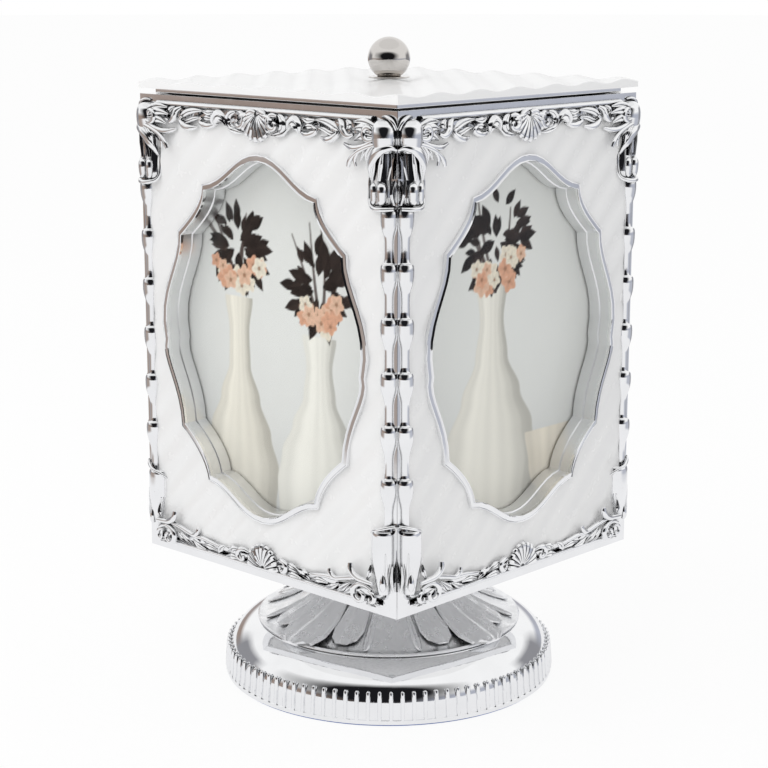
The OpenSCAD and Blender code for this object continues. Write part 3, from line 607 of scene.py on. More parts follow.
# Right half of the upper ornament. A stroke lists across, up from the box's foot, proud of the
# face and half width
UPPER_SCROLLS = (
    ((0, 209.3, -0.4, 1.0), (34, 209.3, -0.4, 1.0), (67, 209.3, -0.4, 1.0)),
    ((0.6, 208.3, 1.4, 0.6), (3.4, 208.9, 1.6, 0.9), (5.4, 207.2, 1.7, 0.9), (4.2, 205.7, 1.8, 0.7),
     (2.9, 206.7, 1.9, 0.4)),
    ((12.6, 207.6, 1.2, 0.5), (9.2, 207.7, 1.6, 0.9), (7.3, 205.1, 1.8, 1.1),
     (8.7, 202.5, 1.8, 1.1), (11.4, 202.3, 1.8, 0.9), (12.2, 204, 1.9, 0.7), (10.9, 205, 2, 0.5)),
    ((25.5, 202.6, 0.6, 0.4), (29.5, 201.2, 1.2, 1.1), (33.6, 201.5, 1.4, 1.2),
     (36.2, 203.2, 1.6, 0.8), (34.4, 204.5, 1.8, 0.5)),
    ((38.6, 200.2, 0.8, 0.5), (43, 199.7, 1.6, 1.3), (47, 200.9, 1.8, 1.3), (49, 203.2, 1.8, 0.8),
     (47, 204.4, 2, 0.5)),
    ((52.6, 198.6, 1.2, 0.6), (58, 197.4, 2.2, 1.2), (64, 198.2, 2.8, 1.1), (70, 200.6, 3, 0.8)),
    ((49, 208.2, 0.8, 0.6), (51.6, 206.6, 1.6, 1.3), (52.7, 204, 2, 1.4), (55.5, 201.9, 2, 1.1),
     (58.4, 202.7, 2, 0.5)),
    ((71, 201.5, 3, 0.8), (67.4, 201, 3.2, 1.0), (65.2, 203.2, 3.2, 1.1), (66.6, 206, 3.2, 1.0),
     (69, 205.5, 3.2, 0.8), (69.2, 203.8, 3.4, 0.5)),
    ((72, 199.6, 3.2, 0.9), (66.5, 198, 3.5, 0.8), (61, 195.4, 3.5, 0.8), (57.6, 192.2, 3.4, 1.0),
     (56.6, 189.9, 3.2, 0.8)),
    ((63, 196.6, 3.4, 0.6), (60.4, 193.2, 3.3, 0.8), (60.8, 190.2, 3.1, 0.5)),
)
UPPER_LEAVES = (
    ((13.4, 208.2, 1.2, 0.4), (16.3, 206.7, 2, 1.2), (17.1, 204.1, 2.2, 1.5), (15.7, 202, 2, 1.1),
     (13.2, 201.5, 1.4, 0.3)),
    ((19.2, 202, 1.4, 0.4), (21.3, 205.2, 2, 1.7), (24.1, 205.8, 2.2, 2.2), (26.2, 203.7, 2.2, 1.8),
     (26.3, 201.2, 1.6, 0.3)),
    ((8.4, 199.4, 0.8, 0.3), (12.6, 199.8, 1.2, 1.0), (16.6, 201, 1.4, 1.1), (19.6, 203.4, 1.2, 0.4)),
    ((27.6, 207.5, 0.6, 0.4), (31, 206.7, 1.2, 1.1), (35, 207.3, 0.8, 0.3)),
    ((28, 203.6, 0.6, 0.4), (31.6, 204.5, 1.2, 1.1), (36, 204, 0.8, 0.3)),
    ((35.4, 207.4, 0.8, 0.3), (41, 207.1, 1.4, 1.0), (46.2, 205.6, 1.6, 1.3), (50.4, 202.6, 1.2, 0.4)),
    ((36.4, 204.4, 0.6, 0.3), (41, 203.6, 1.2, 0.9), (45, 202.3, 1.4, 1.0), (49.4, 202, 1, 0.3)),
    ((53.4, 208.2, 0.8, 0.4), (55.8, 206.5, 1.8, 1.2), (54.7, 204.6, 1.8, 0.4)),
    ((71, 206.6, 2.6, 0.8), (64.5, 208.2, 2.2, 1.3), (58, 207.9, 1.4, 0.3)),
    ((71, 204.6, 3, 0.8), (63.6, 205.8, 2.6, 1.5), (57.4, 204.9, 1.6, 0.3)),
    ((70, 202.6, 3, 0.8), (63.6, 202.4, 2.6, 1.5), (58.6, 200.4, 1.6, 0.3)),
    ((71, 199.4, 3.4, 0.8), (68, 195.4, 3.6, 1.2), (67.2, 190.6, 2.6, 0.3)),
    ((71.5, 197.6, 3.4, 0.6), (66.4, 196.8, 3.2, 0.9), (62.6, 192.6, 2.2, 0.2)),
)
# Right half of the lower ornament
LOWER_SCROLLS = (
    ((0, 4.9, -0.4, 0.7), (34, 4.9, -0.4, 0.7), (70, 4.9, -0.4, 0.7)),
    ((9.4, 11, 0.8, 0.5), (12.6, 12, 1.6, 0.9), (15.6, 10.4, 1.8, 1.1), (15, 7.8, 1.8, 1.0),
     (12.4, 7.6, 1.8, 0.7), (12, 9.2, 2, 0.5)),
    ((28, 9.2, 0.6, 0.5), (34, 10.2, 1, 0.8), (40, 11.2, 1.2, 0.8), (46, 11.6, 1.6, 0.9),
     (53, 13.4, 2, 0.9), (60, 15, 2.6, 0.9), (68, 14.4, 3, 0.7)),
    ((48, 11.8, 1.6, 0.8), (45.2, 12, 1.8, 0.9), (43.2, 13.6, 1.8, 1.0), (42.8, 15.4, 1.8, 0.7)),
    ((70, 14.8, 3.4, 0.8), (65.4, 15.2, 3.6, 1.0), (60.6, 16, 3.6, 1.2), (57.4, 18.6, 3.5, 1.3),
     (57, 21.4, 3.3, 1.0)),
    ((69, 11.6, 2.8, 0.7), (65, 13.2, 3, 0.9), (60.4, 12.2, 3, 1.1), (58.2, 9, 3, 1.2),
     (60, 6, 2.8, 1.1), (63.2, 6, 2.8, 0.9), (64.2, 8.6, 3, 0.8), (62.2, 9.8, 3.2, 0.5)),
    ((67, 10.8, 2.6, 0.5), (69.8, 9.8, 2.8, 0.8), (70.2, 7, 2.8, 0.8), (68.2, 6.2, 2.8, 0.6),
     (67.6, 7.9, 3, 0.4)),
)
LOWER_LEAVES = (
    ((15.6, 11.4, 1, 0.3), (19.4, 10.9, 1.6, 1.1), (23.4, 8.6, 1, 0.3)),
    ((15.2, 6.8, 1, 0.3), (19.6, 7.2, 1.6, 1.1), (24.6, 6.2, 1, 0.3)),
    ((25.4, 10.8, 0.8, 0.3), (27.6, 9.2, 1.6, 1.3), (30, 6.6, 0.8, 0.3)),
    ((30, 7, 0.6, 0.3), (35.4, 8.4, 1.2, 1.1), (41, 8, 0.8, 0.3)),
    ((39, 6, 0.6, 0.3), (43.6, 7.2, 1.2, 1.0), (47.6, 9.2, 0.8, 0.3)),
    ((46.6, 6.2, 0.8, 0.3), (50.6, 8.4, 1.6, 1.2), (55.4, 11.8, 1.4, 0.3)),
    ((50.6, 5.8, 0.8, 0.3), (54.2, 8, 1.6, 1.1), (57.6, 11.2, 1.6, 0.3)),
    ((66.6, 16, 3, 0.4), (68.2, 19, 3.4, 1.0), (68.4, 22.6, 2.8, 0.2)),
    ((64.6, 4.4, 1.4, 0.3), (67.2, 5, 2.2, 0.8), (70.4, 4.2, 1.4, 0.2)),
)
# Lobes of the capital and the foot of the right-hand column: outline from the bottom up as shares
# of height and radius, then radius, height, in from the corner, out from the face, and foot
HOOD_SHARES = ((0, 0.70), (0.14, 0.86), (0.35, 0.98), (0.6, 1), (0.8, 0.92), (0.93, 0.68),
               (0.985, 0.38), (1, 0.1))
CUP_SHARES = ((0, 0.60), (0.02, 0.84), (0.06, 0.96), (0.14, 1), (0.28, 0.99), (0.42, 0.92),
              (0.60, 0.86), (0.8, 0.84), (1, 0.82))
DROP_SHARES = ((0, 0.15), (0.03, 0.42), (0.1, 0.66), (0.24, 0.86), (0.46, 0.98), (0.68, 1),
               (0.84, 0.86), (0.95, 0.5), (1, 0.1))
BLOCK_SHARES = ((0, 0.56), (0.1, 0.62), (0.28, 0.78), (0.44, 0.93), (0.56, 1), (0.86, 1),
                (0.95, 0.97), (0.99, 0.86), (1, 0.6))
PETAL_SHARES = ((0, 0.1), (0.06, 0.5), (0.2, 0.9), (0.38, 1), (0.6, 0.86), (0.8, 0.55), (1, 0.08))
COLUMN_LOBES = (
    (HOOD_SHARES, 5.3, 13.4, 6.5, 0.85, 196.2),
    (CUP_SHARES, 5.1, 26, 8.6, -1.0, 174.2),
    (DROP_SHARES, 2.2, 9.6, 5.4, 3.5, 175.0),
    (DROP_SHARES, 1.9, 9.4, 9.7, 3.3, 175.0),
    (BLOCK_SHARES, 5.3, 28.4, 7.6, 0.0, 10.2),
    (PETAL_SHARES, 1.5, 8, 5.2, 3.2, 11.8),
)
COLUMN_STROKES = (
    ((66.3, 193, -0.6, 0.5), (65.6, 187, 0.8, 0.6), (65.6, 180, 1.2, 0.7), (66.6, 175.6, 2, 0.9),
     (70.4, 173.9, 4.2, 1.0), (75, 173.7, 4.6, 1.0), (79.5, 174, 1.6, 0.8)),
    ((66, 34.6, 0.6, 0.4), (68.4, 37, 3, 0.7), (72.6, 38.8, 4.4, 0.7), (76.6, 40.2, 3, 0.7),
     (79.6, 41, 0.6, 0.6)),
    ((79.6, 205.6, 0.2, 0.7), (78, 209, 1.2, 0.9), (75, 210.6, 1.2, 0.7), (72, 210.4, 0.4, 0.4)),
)
COLUMN_PETALS = (
    ((79.4, 197.4, -0.2, 0.6), (77.4, 198.4, 3.6, 1.5), (73.4, 196.8, 4.85, 2.25),
     (69.2, 191.8, 4.2, 2.1), (66.2, 186, 1.6, 0.6)),
)
COLUMN_LEAVES = (
    ((75.6, 196.6, 4.2, 0.5), (74.6, 191.4, 4.3, 1.15), (73.8, 185.2, 4.4, 0.8)),
    ((72, 194, 4.8, 0.4), (70.6, 189.6, 4.4, 1.0), (69.6, 185.2, 4.2, 0.7)),
    ((77.8, 196, 1.6, 0.4), (77.6, 191, 1.8, 0.8), (76.8, 185.6, 2.4, 0.5)),
    ((79.2, 185.4, 0.6, 0.4), (78.6, 180.4, 2.2, 0.8), (79.2, 175.4, 1.2, 0.4)),
    ((68.8, 208.2, 1.2, 0.4), (67.9, 204.4, 2.2, 1.2), (68.6, 200.2, 1.4, 0.4)),
    ((76.4, 29, 3.4, 0.4), (76.4, 23, 3.2, 0.9), (76.6, 15, 2.4, 0.4)),
    ((73.8, 29, 4.8, 0.4), (74, 23, 4.2, 0.9), (74.6, 17.6, 3.4, 0.4)),
    ((71, 28.4, 5, 0.4), (71.6, 22, 4.2, 0.9), (73, 16.8, 3.2, 0.4)),
    ((68.2, 25.6, 3.4, 0.4), (69.2, 20, 3, 1.0), (71.4, 12.6, 2, 0.5)),
    ((78.6, 23.6, 1.4, 0.3), (78.5, 17, 1.8, 0.8), (78.8, 11.8, 1, 0.3)),
)
# Outline of one bead down one pitch, as shares of the pitch and of the bead's swell
BEAD_SHARES = ((0, 0.45), (0.012, 0.74), (0.05, 0.92), (0.12, 1), (0.22, 0.98), (0.31, 0.86),
               (0.39, 0.62), (0.46, 0.34), (0.52, 0.14), (0.60, 0.02), (0.72, 0), (0.88, 0.02),
               (0.97, 0.08), (0.99, 0.25))
# Place of a column's bar in from the corner, and its ends above the box's foot
COLUMN_IN = 4.55
COLUMN_FOOT_T = 38
COLUMN_TOP_T = 174
# Width share and rise that the drawn scrolls and leaves get on the side
SCROLL_BOLD = (1.22, 1.1)
LEAF_BOLD = (1.3, 1.2)
# Shells: reach, height of the root and which way they hang, lobes, and the angle that they span
UPPER_SHELL = (12.4, 208.4, -1)
LOWER_SHELL = (11.6, 5.4, 1)
SHELL_LOBES = 11
SHELL_SPREAD = 160
SHELL_SIDE_SHARE = 0.16
# Along a lobe: share of its reach, height over the face, and share of its half width
SHELL_LOBE_SHARES = ((0.14, 2.4, 0.2), (0.4, 3.1, 0.42), (0.7, 3.0, 0.74), (0.9, 2.5, 0.98),
                     (0.98, 1.8, 0.7))


def column_lobe(shares, radius, height, inwards, outwards, foot):
    """A turned lobe on the right-hand corner."""
    points = [(r * radius, h * height) for h, r in through(shares, 3)]
    return moved(turned(points, 32), Matrix.Translation((BOX_HALF - inwards, -BOX_HALF - outwards,
                                                         BOX_FOOT + foot)))


def shell_fan(reach, height, hang):
    """Lobes of a shell that fans out from the middle of a band, downwards if hang is -1."""
    lobes = []
    for k in range(SHELL_LOBES):
        angle = radians(SHELL_SPREAD * (k / (SHELL_LOBES - 1) - 0.5))
        r = reach * (1 - SHELL_SIDE_SHARE * sin(angle) ** 2)
        half = 0.5 * r * radians(SHELL_SPREAD / (SHELL_LOBES - 1))
        lobes.append([(sin(angle) * r * q, height + hang * cos(angle) * r * q, rise, half * share)
                      for q, rise, share in SHELL_LOBE_SHARES])
    return lobes


def frame_body():
    """Plated plate of one side, with its bands, its opening and the mitred walls behind it."""
    body = block((-BOX_HALF, -BOX_HALF, BOX_FOOT), (BOX_HALF, FRAME_DEPTH - BOX_HALF, BOX_TOP))
    inner = BOX_HALF - STILE_W
    cut(body, block((-inner, -BOX_HALF - 1, BOX_FOOT + RAIL_BOTTOM_H),
                    (inner, BAND_INSET - BOX_HALF, BOX_TOP - RAIL_TOP_H)))
    cut(body, block((-inner, -BOX_HALF - 1, BOX_FOOT + RAIL_BOTTOM_H + BAND_H),
                    (inner, FRAME_DEPTH - BOX_HALF + 1, BOX_TOP - RAIL_TOP_H - BAND_H)))
    cut(body, block((-inner, -BOX_HALF - 1, BOX_FOOT + RAIL_BOTTOM_H + FRONT_BAND_H),
                    (inner, -PANEL_PLANE + 0.3, BOX_TOP - RAIL_TOP_H - FRONT_BAND_H)))
    pocket = block((-BOX_HALF, -PANEL_PLANE, BOX_FOOT + FRAME_WALL), (BOX_HALF, 0, BOX_TOP + 1))
    for side in (-1, 1):
        mitred(pocket, side, FRAME_WALL * sqrt(2))
    cut(body, pocket)
    for side in (-1, 1):
        mitred(body, side, 0.1)
    return with_modifier(body, "BEVEL", width=sizes().edge_round / MM, segments=2,
                         limit_method="ANGLE", angle_limit=radians(50))


def mitred(piece, side, gap):
    """Cuts one end of a side's piece off along the mitre, a gap short of it."""
    cutter = block((-gap / sqrt(2), -2 * BOX_HALF, 0), (4 * BOX_HALF, 2 * BOX_HALF, 2 * BOX_TOP))
    moved(cutter, Matrix.Rotation(pi / 4 if side > 0 else 3 * pi / 4, 4, "Z"))
    return cut(piece, cutter)


def column_bar():
    """Beaded bar of the right-hand column."""
    waist = sizes().waist_radius / MM
    swell = sizes().bead_radius / MM - waist
    count = sizes().bead_count
    pitch = (COLUMN_TOP_T - COLUMN_FOOT_T) / count
    profile = [(waist + share * swell, COLUMN_TOP_T - (bead + down) * pitch)
               for bead in range(count) for down, share in BEAD_SHARES]
    bar = turned(profile[::-1], 28)
    return moved(bar, Matrix.Translation((BOX_HALF - COLUMN_IN, -BOX_HALF, BOX_FOOT)))


class PHOTOFRAME_OT_side_frames(bpy.types.Operator):
    """Model the plated side frames with their columns, shells, scrolls and leaves"""
    bl_idname = "photoframe.side_frames"
    bl_label = "Side Frames"

    def execute(self, context):
        halves = [column_bar()]
        for paths in (UPPER_SCROLLS, LOWER_SCROLLS):
            halves.append(upright(strokes(bolder(paths, *SCROLL_BOLD), None, 5, 3)))
        for paths in (UPPER_LEAVES, LOWER_LEAVES):
            halves.append(upright(strokes(bolder(paths, *LEAF_BOLD), LEAF_SHARES, 6)))
        halves.append(upright(strokes(COLUMN_LEAVES, LEAF_SHARES, 6)))
        halves.append(upright(strokes(COLUMN_PETALS, PETAL_SECTION_SHARES, 6)))
        halves.append(upright(strokes(COLUMN_STROKES, None, 5, 3)))
        halves += [column_lobe(*lobe) for lobe in COLUMN_LOBES]
        half = mirrored(joined(halves))
        shells = [upright(strokes(shell_fan(*shell))) for shell in (UPPER_SHELL, LOWER_SHELL)]
        side = joined([frame_body(), half, *shells])
        on_four_sides(side, "side_frame", carved_plating())
        return {"FINISHED"}


# Panels, windows and photographs

def window_outline(grow, steps=8):
    """Points of the window's outline, grown by grow on each side, from the top round."""
    half = [bezier(row, i / steps) for row in OVAL_SHARES for i in range(steps)]
    points = half + [(0, -1)] + [(-x, z) for x, z in half[:0:-1]]
    return [(x * (WINDOW_HALF_W + grow), z * (WINDOW_HALF_H + grow)) for x, z in points]


def window_ring(section, closed):
    """A wall round the window: a ring of its outline is extruded and resized along a section."""
    bpy.ops.object.select_all(action="DESELECT")
    grow, depth = section[0]
    outline = window_outline(grow)
    bpy.ops.mesh.primitive_circle_add(
        vertices=len(outline), fill_type="NOTHING" if closed else "NGON")
    piece = bpy.context.object
    for vertex, (x, z) in zip(piece.data.vertices, outline):
        vertex.co = (x, -depth, z)
    extrude = bpy.ops.mesh.extrude_edges_move if closed else bpy.ops.mesh.extrude_region_move
    with editing(piece):
        for next_grow, next_depth in section[1:]:
            extrude(TRANSFORM_OT_translate={"value": (0, depth - next_depth, 0)})
            bpy.ops.transform.resize(
                value=((WINDOW_HALF_W + next_grow) / (WINDOW_HALF_W + grow), 1,
                       (WINDOW_HALF_H + next_grow) / (WINDOW_HALF_H + grow)),
                center_override=(0, 0, 0))
            grow, depth = next_grow, next_depth
    return moved(cleaned(piece), Matrix.Translation((0, 0, WINDOW_Z)))


class PHOTOFRAME_OT_wave_panels(bpy.types.Operator):
    """Model the rippled white panels with the window cut through them"""
    bl_idname = "photoframe.wave_panels"
    bl_label = "Wave Panels"
    cell = 2.0
    edge_w, edge_drop = 2.5, 0.9
    opening_gap = 1.35
    cut_front, cut_back = 90, 60

    def execute(self, context):
        width, height = 2 * PANEL_HALF_W, PANEL_HEAD - PANEL_FOOT
        middle = (PANEL_FOOT + PANEL_HEAD) / 2
        panel = upright_grid(ceil(width / self.cell), ceil(height / self.cell))
        depth, pitch = sizes().panel_ripple / MM, sizes().panel_pitch / MM
        for vertex in panel.data.vertices:
            x, z = vertex.co.x * width, vertex.co.z * height
            wave = 0.5 + 0.5 * cos(2 * pi * (x - z) / sqrt(2) / pitch)
            edge = min(1, min(PANEL_HALF_W - abs(x), height / 2 - abs(z)) / self.edge_w)
            drop = self.edge_drop * (1 - edge) ** 2
            vertex.co = (x, depth * (1 - wave) + drop - PANEL_FRONT, z + middle)
        with_modifier(panel, "SOLIDIFY", thickness=PANEL_BACK_Y + PANEL_FRONT - depth, offset=-1)
        cleaned(panel)
        gap = self.opening_gap
        cut(panel, window_ring(((gap, self.cut_front), (gap, self.cut_back)), False))
        on_four_sides(panel, "wave_panel", pearl(), 30)
        return {"FINISHED"}


class PHOTOFRAME_OT_window_bezels(bpy.types.Operator):
    """Model the plated lips with the stepped walls that line the windows"""
    bl_idname = "photoframe.window_bezels"
    bl_label = "Window Bezels"
    wall = 1.2
    # The lip from its outer edge inwards: out from the opening, and over the panel
    lip = ((3.2, -1), (3.2, 0.7), (3.08, 1.0), (2.85, 1.1), (2.6, 0.95), (2.5, 0.6), (2.35, 0.8),
           (0.55, 0.88), (0.5, 1.35), (0.25, 1.6), (0, 1.3), (0, 0.9))
    # The step in the lining, over the middle of its depth
    step = ((0, 0.6), (0.05, 0.3), (-0.5, 0), (-0.6, -0.3))

    def execute(self, context):
        front, back = PANEL_FRONT, -COVER_Y + 0.1
        mid = (front + back) / 2
        section = [(self.wall, back), (self.wall, front - self.wall)]
        section += [(out, front + rise) for out, rise in self.lip]
        section += [(out, mid + rise) for out, rise in self.step]
        section += [(self.step[-1][0], back), (self.wall, back)]
        bezel = window_ring(section, True)
        on_four_sides(bezel, "window_bezel",
                      shared(lip_material, "lip_plating", tuple(finish().plating)), 35)
        return {"FINISHED"}


def soft_step(value, edge, blur):
    """0 below an edge and 1 above it, with a soft change between."""
    share = np.clip((value - edge) / blur + 0.5, 0, 1)
    return share * share * (3 - 2 * share)


class Print:
    """A picture painted on the points of a card, in millimetres about its middle."""
    blur = 0.7
    twigs, leaves = 5, 64
    twig_w = 1.2
    twig_ink = (0.07, 0.045, 0.04)
    leaf_ink = (0.030, 0.019, 0.017)
    eye_ink = (0.32, 0.16, 0.09)
    petals = ((0.74, 0.40, 0.27), (0.80, 0.52, 0.38), (0.86, 0.78, 0.66))

    def __init__(self, x, z, seed):
        self.x, self.z = x, z
        self.random = np.random.default_rng(seed)
        tone = 0.80 - 0.05 * np.clip(-z / 89, 0, 1) - 0.10 * (x * x / 63 ** 2 + z * z / 89 ** 2) / 2
        self.ink = np.stack([tone, tone, tone * 0.99], -1)

    def lay(self, cover, colour):
        """Lays a colour over the picture where cover is 1."""
        cover = np.asarray(cover)[..., None]
        self.ink = self.ink * (1 - cover) + np.asarray(colour) * cover

    def vase(self, x0, foot, height, widths, colour):
        """A turned vase whose half widths are given at even steps from its foot to its mouth."""
        up = np.clip((self.z - foot) / height, 0, 1) * (len(widths) - 1)
        knot = np.minimum(up.astype(int), len(widths) - 2)
        share = up - knot
        share = share * share * (3 - 2 * share)
        table = np.asarray(widths, float)
        half = table[knot] * (1 - share) + table[knot + 1] * share
        across = (self.x - x0) / half
        inside = soft_step(half - abs(self.x - x0), 0, self.blur)
        inside *= soft_step(self.z, foot, self.blur) * soft_step(-self.z, -foot - height, self.blur)
        light = 0.62 + 0.38 * np.sqrt(np.clip(1 - (across + 0.25) ** 2, 0, 1))
        light += 0.10 * np.exp(-((across + 0.45) / 0.12) ** 2)
        fold = 0.03 * np.cos(across * 19 + x0)
        self.lay(inside, np.asarray(colour) * (light + fold)[..., None])

    def shadow(self, x0, z0, half_w, half_h, depth):
        far = ((self.x - x0) / half_w) ** 2 + ((self.z - z0) / half_h) ** 2
        self.ink *= (1 - depth * np.exp(-far))[..., None]

    def blossom(self, x0, z0, radius, colour):
        """A five-petalled flower with a dark eye."""
        turn = self.random.uniform(0, 2 * pi)
        far = np.hypot(self.x - x0, self.z - z0)
        angle = np.arctan2(self.z - z0, self.x - x0) * 5 + turn
        rim = radius * (0.86 + 0.14 * np.cos(angle))
        tone = 0.80 + 0.25 * far / radius - 0.06 * np.cos(angle)
        self.lay(soft_step(rim - far, 0, self.blur), np.asarray(colour) * tone[..., None])
        self.lay(soft_step(radius * 0.2 - far, 0, self.blur) * 0.8, self.eye_ink)

    def leaf(self, x0, z0, length, turn, colour):
        """A pointed leaf that runs from x0, z0 in the direction of turn."""
        along = (self.x - x0) * cos(turn) + (self.z - z0) * sin(turn)
        across = (self.z - z0) * cos(turn) - (self.x - x0) * sin(turn)
        share = np.clip(along / length, 0, 1)
        half = 0.26 * length * np.sin(pi * share) * (1.15 - 0.5 * share)
        cover = soft_step(half - abs(across), 0.1, self.blur) * (along > 0) * (along < length)
        tone = 0.8 + 0.35 * (across > 0)
        self.lay(cover, np.asarray(colour) * tone[..., None])

    def twig(self, x0, z0, x1, z1, bend, width, colour):
        """A thin branch from one point to another, bowed to one side."""
        for q in np.linspace(0, 1, 60):
            bow = bend * sin(pi * q)
            far = np.hypot(self.x - mix(x0, x1, q) - bow, self.z - mix(z0, z1, q))
            self.lay(soft_step(width * (1 - 0.6 * q) - far, 0, self.blur) * 0.7, colour)

    def bunch(self, x0, z0, spread, flowers):
        """Dark leaves and twigs with peach and cream flowers in front of them."""
        draw = self.random
        for _ in range(self.twigs):
            self.twig(x0, z0 - spread, x0 + draw.uniform(-1, 1) * spread * 1.3,
                      z0 + draw.uniform(0.5, 1.5) * spread, draw.uniform(-3, 3), self.twig_w,
                      self.twig_ink)
        for _ in range(self.leaves):
            turn = draw.uniform(0, 2 * pi)
            far = spread * sqrt(draw.uniform(0, 0.7))
            shade = draw.uniform(0.4, 1.2)
            self.leaf(x0 + far * cos(turn), z0 + far * sin(turn) * 0.9, draw.uniform(7, 12),
                      turn + draw.uniform(-0.6, 0.6), shaded(self.leaf_ink, shade))
        for _ in range(flowers):
            turn, far = draw.uniform(-pi, 0.2), spread * sqrt(draw.uniform(0.1, 0.8))
            colour = self.petals[draw.integers(3)]
            self.blossom(x0 + far * cos(turn), z0 - 0.35 * spread + far * sin(turn) * 0.75,
                         draw.uniform(3.4, 5.6), colour)


def paint_pair(picture):
    """Two vases of flowers side by side, with a soft shadow behind their lower halves."""
    picture.shadow(2, -66, 60, 20, 0.10)
    picture.vase(-27, -92, 108, (15, 23, 25, 20, 13, 7, 6.5, 9), (0.86, 0.82, 0.74))
    picture.vase(24, -92, 96, (20, 26, 27, 24, 17, 10, 8, 10.5), (0.88, 0.86, 0.81))
    picture.bunch(-27, 38, 18, 16)
    picture.bunch(25, 26, 19, 17)


def paint_single(picture):
    """One tall vase of flowers with a small bowl beside it."""
    picture.shadow(4, -62, 60, 22, 0.10)
    picture.vase(-8, -92, 118, (22, 30, 33, 29, 20, 11, 8, 10.5), (0.87, 0.84, 0.78))
    picture.vase(38, -92, 46, (9, 15, 19, 22), (0.80, 0.74, 0.65))
    picture.bunch(-6, 44, 22, 22)


class PHOTOFRAME_OT_photographs(bpy.types.Operator):
    """Print the photographs: still lifes of vases and flowers on light grey"""
    bl_idname = "photoframe.photographs"
    bl_label = "Photographs"

    def execute(self, context):
        grain = sizes().print_grain / MM
        width, height = CARD_HIGH.x - CARD_LOW.x, CARD_HIGH.z - CARD_LOW.z
        thickness = CARD_HIGH.y - CARD_LOW.y
        paper = shared(print_material, "printed_paper")
        for k, side in enumerate(SIDES):
            card = upright_grid(int(width / grain), int(height / grain))
            moved(card, Matrix.Translation((0, CARD_LOW.y, WINDOW_Z))
                  @ Matrix.Diagonal((width, 1, height, 1)))
            place = np.array([vertex.co for vertex in card.data.vertices])
            picture = Print(place[:, 0], place[:, 2] - WINDOW_Z, 11 + k)
            (paint_pair if k % 2 == 0 else paint_single)(picture)
            ink = card.data.color_attributes.new("ink", "FLOAT_COLOR", "POINT")
            ink.data.foreach_set("color", np.c_[picture.ink, np.ones(len(place))].ravel())
            with editing(card):
                bpy.ops.mesh.region_to_loop()
                bpy.ops.mesh.extrude_edges_move(TRANSFORM_OT_translate={"value": (0, thickness, 0)})
                bpy.ops.mesh.edge_face_add()
            finished(cleaned(card), f"photo_card_{side}_print", "turntable", paper,
                     f"photo_card_{side}", k * pi / 2)
        return {"FINISHED"}


# Lid and knob

class PHOTOFRAME_OT_lid(bpy.types.Operator):
    """Model the rippled white lid and the plated plate under it"""
    bl_idname = "photoframe.lid"
    bl_label = "Lid"
    cell = 1.6
    edge_w, edge_drop = 1.2, 0.25
    plate_t, plate_rounding = 2.2, 0.3
    rim_in, rim_w = 8.6, 2

    def execute(self, context):
        bpy.ops.object.select_all(action="DESELECT")
        width = LID_HIGH.x - LID_LOW.x
        rise, pitch = sizes().lid_rise / MM, sizes().lid_pitch / MM
        level = LID_HIGH.z - rise
        cells = ceil(width / self.cell)
        bpy.ops.mesh.primitive_grid_add(
            x_subdivisions=cells, y_subdivisions=cells, size=width, location=(0, 0, level))
        bpy.ops.object.transform_apply(location=True)
        lid = bpy.context.object
        with editing(lid):
            bpy.ops.mesh.extrude_region_move(
                TRANSFORM_OT_translate={"value": (0, 0, LID_LOW.z - level)})
        for vertex in lid.data.vertices:
            if vertex.co.z > (LID_LOW.z + level) / 2:
                across = (vertex.co.x + vertex.co.y) / sqrt(2)
                edge = width / 2 - max(abs(vertex.co.x), abs(vertex.co.y))
                drop = self.edge_drop * (1 - min(1, edge / self.edge_w)) ** 2
                vertex.co.z += rise * cos(2 * pi * across / pitch) - drop
        cleaned(lid)
        finished(lid, "lid_top_shape", "lid",
                 shared(enamel_material, "lid_white", tuple(finish().lid_white), 0.3, 0.3),
                 "lid_top", angle=50)
        plate = block((PLATE_LOW.x, PLATE_LOW.y, PLATE_HIGH.z - self.plate_t), PLATE_HIGH,
                      self.plate_rounding)
        out = -PLATE_LOW.x - self.rim_in
        hole = out - self.rim_w
        ring = block((-out, -out, PLATE_LOW.z), (out, out, PLATE_HIGH.z - 1))
        cut(ring, block((-hole, -hole, PLATE_LOW.z - 1), (hole, hole, PLATE_HIGH.z)))
        finished(joined([plate, ring]), "lid_plate_shape", "lid", plating(),
                 "lid_plate")
        return {"FINISHED"}


class PHOTOFRAME_OT_knob(bpy.types.Operator):
    """Turn the nickel ball and its washer"""
    bl_idname = "photoframe.knob"
    bl_label = "Ball Knob"

    def execute(self, context):
        radius = (BALL_HIGH.x - BALL_LOW.x) / 2
        centre = BALL_HIGH.z - radius
        low = (BALL_LOW.z - centre) / radius
        start = atan2(low, sqrt(1 - low * low))
        ball = [(radius * cos(start) * 0.93, BALL_LOW.z)]
        for k in range(31):
            angle = mix(start, pi / 2 - 0.03, k / 30)
            ball.append((radius * cos(angle), centre + radius * sin(angle)))
        finished(turned(ball, 64), "ball_knob_shape", "lid", nickel(), "ball_knob")
        washer = (WASHER_HIGH.x - WASHER_LOW.x) / 2
        low_z, high_z = WASHER_LOW.z, WASHER_HIGH.z
        rim = ((washer - 0.5, low_z), (washer, low_z + 0.25), (washer, high_z - 0.3),
               (washer - 0.35, high_z - 0.05), (washer * 0.6, high_z))
        finished(turned(rim, 64), "knob_washer_shape", "lid", nickel(),
                 "knob_washer")
        return {"FINISHED"}


# Base and leaf skirt

BASE_TOP_Z = 27.5
BASE_R = 78.4
BASE_SIDE_H = 7
BASE_FLAT_R = 58
SIDE_DRAFT = 0.8
PAD_T = 1.2
SKIRT_R = 62
COLLAR_R = 24
SKIRT_SHARES = ((0, 0), (0.42, 0.15), (0.90, 0.45), (1, 1))


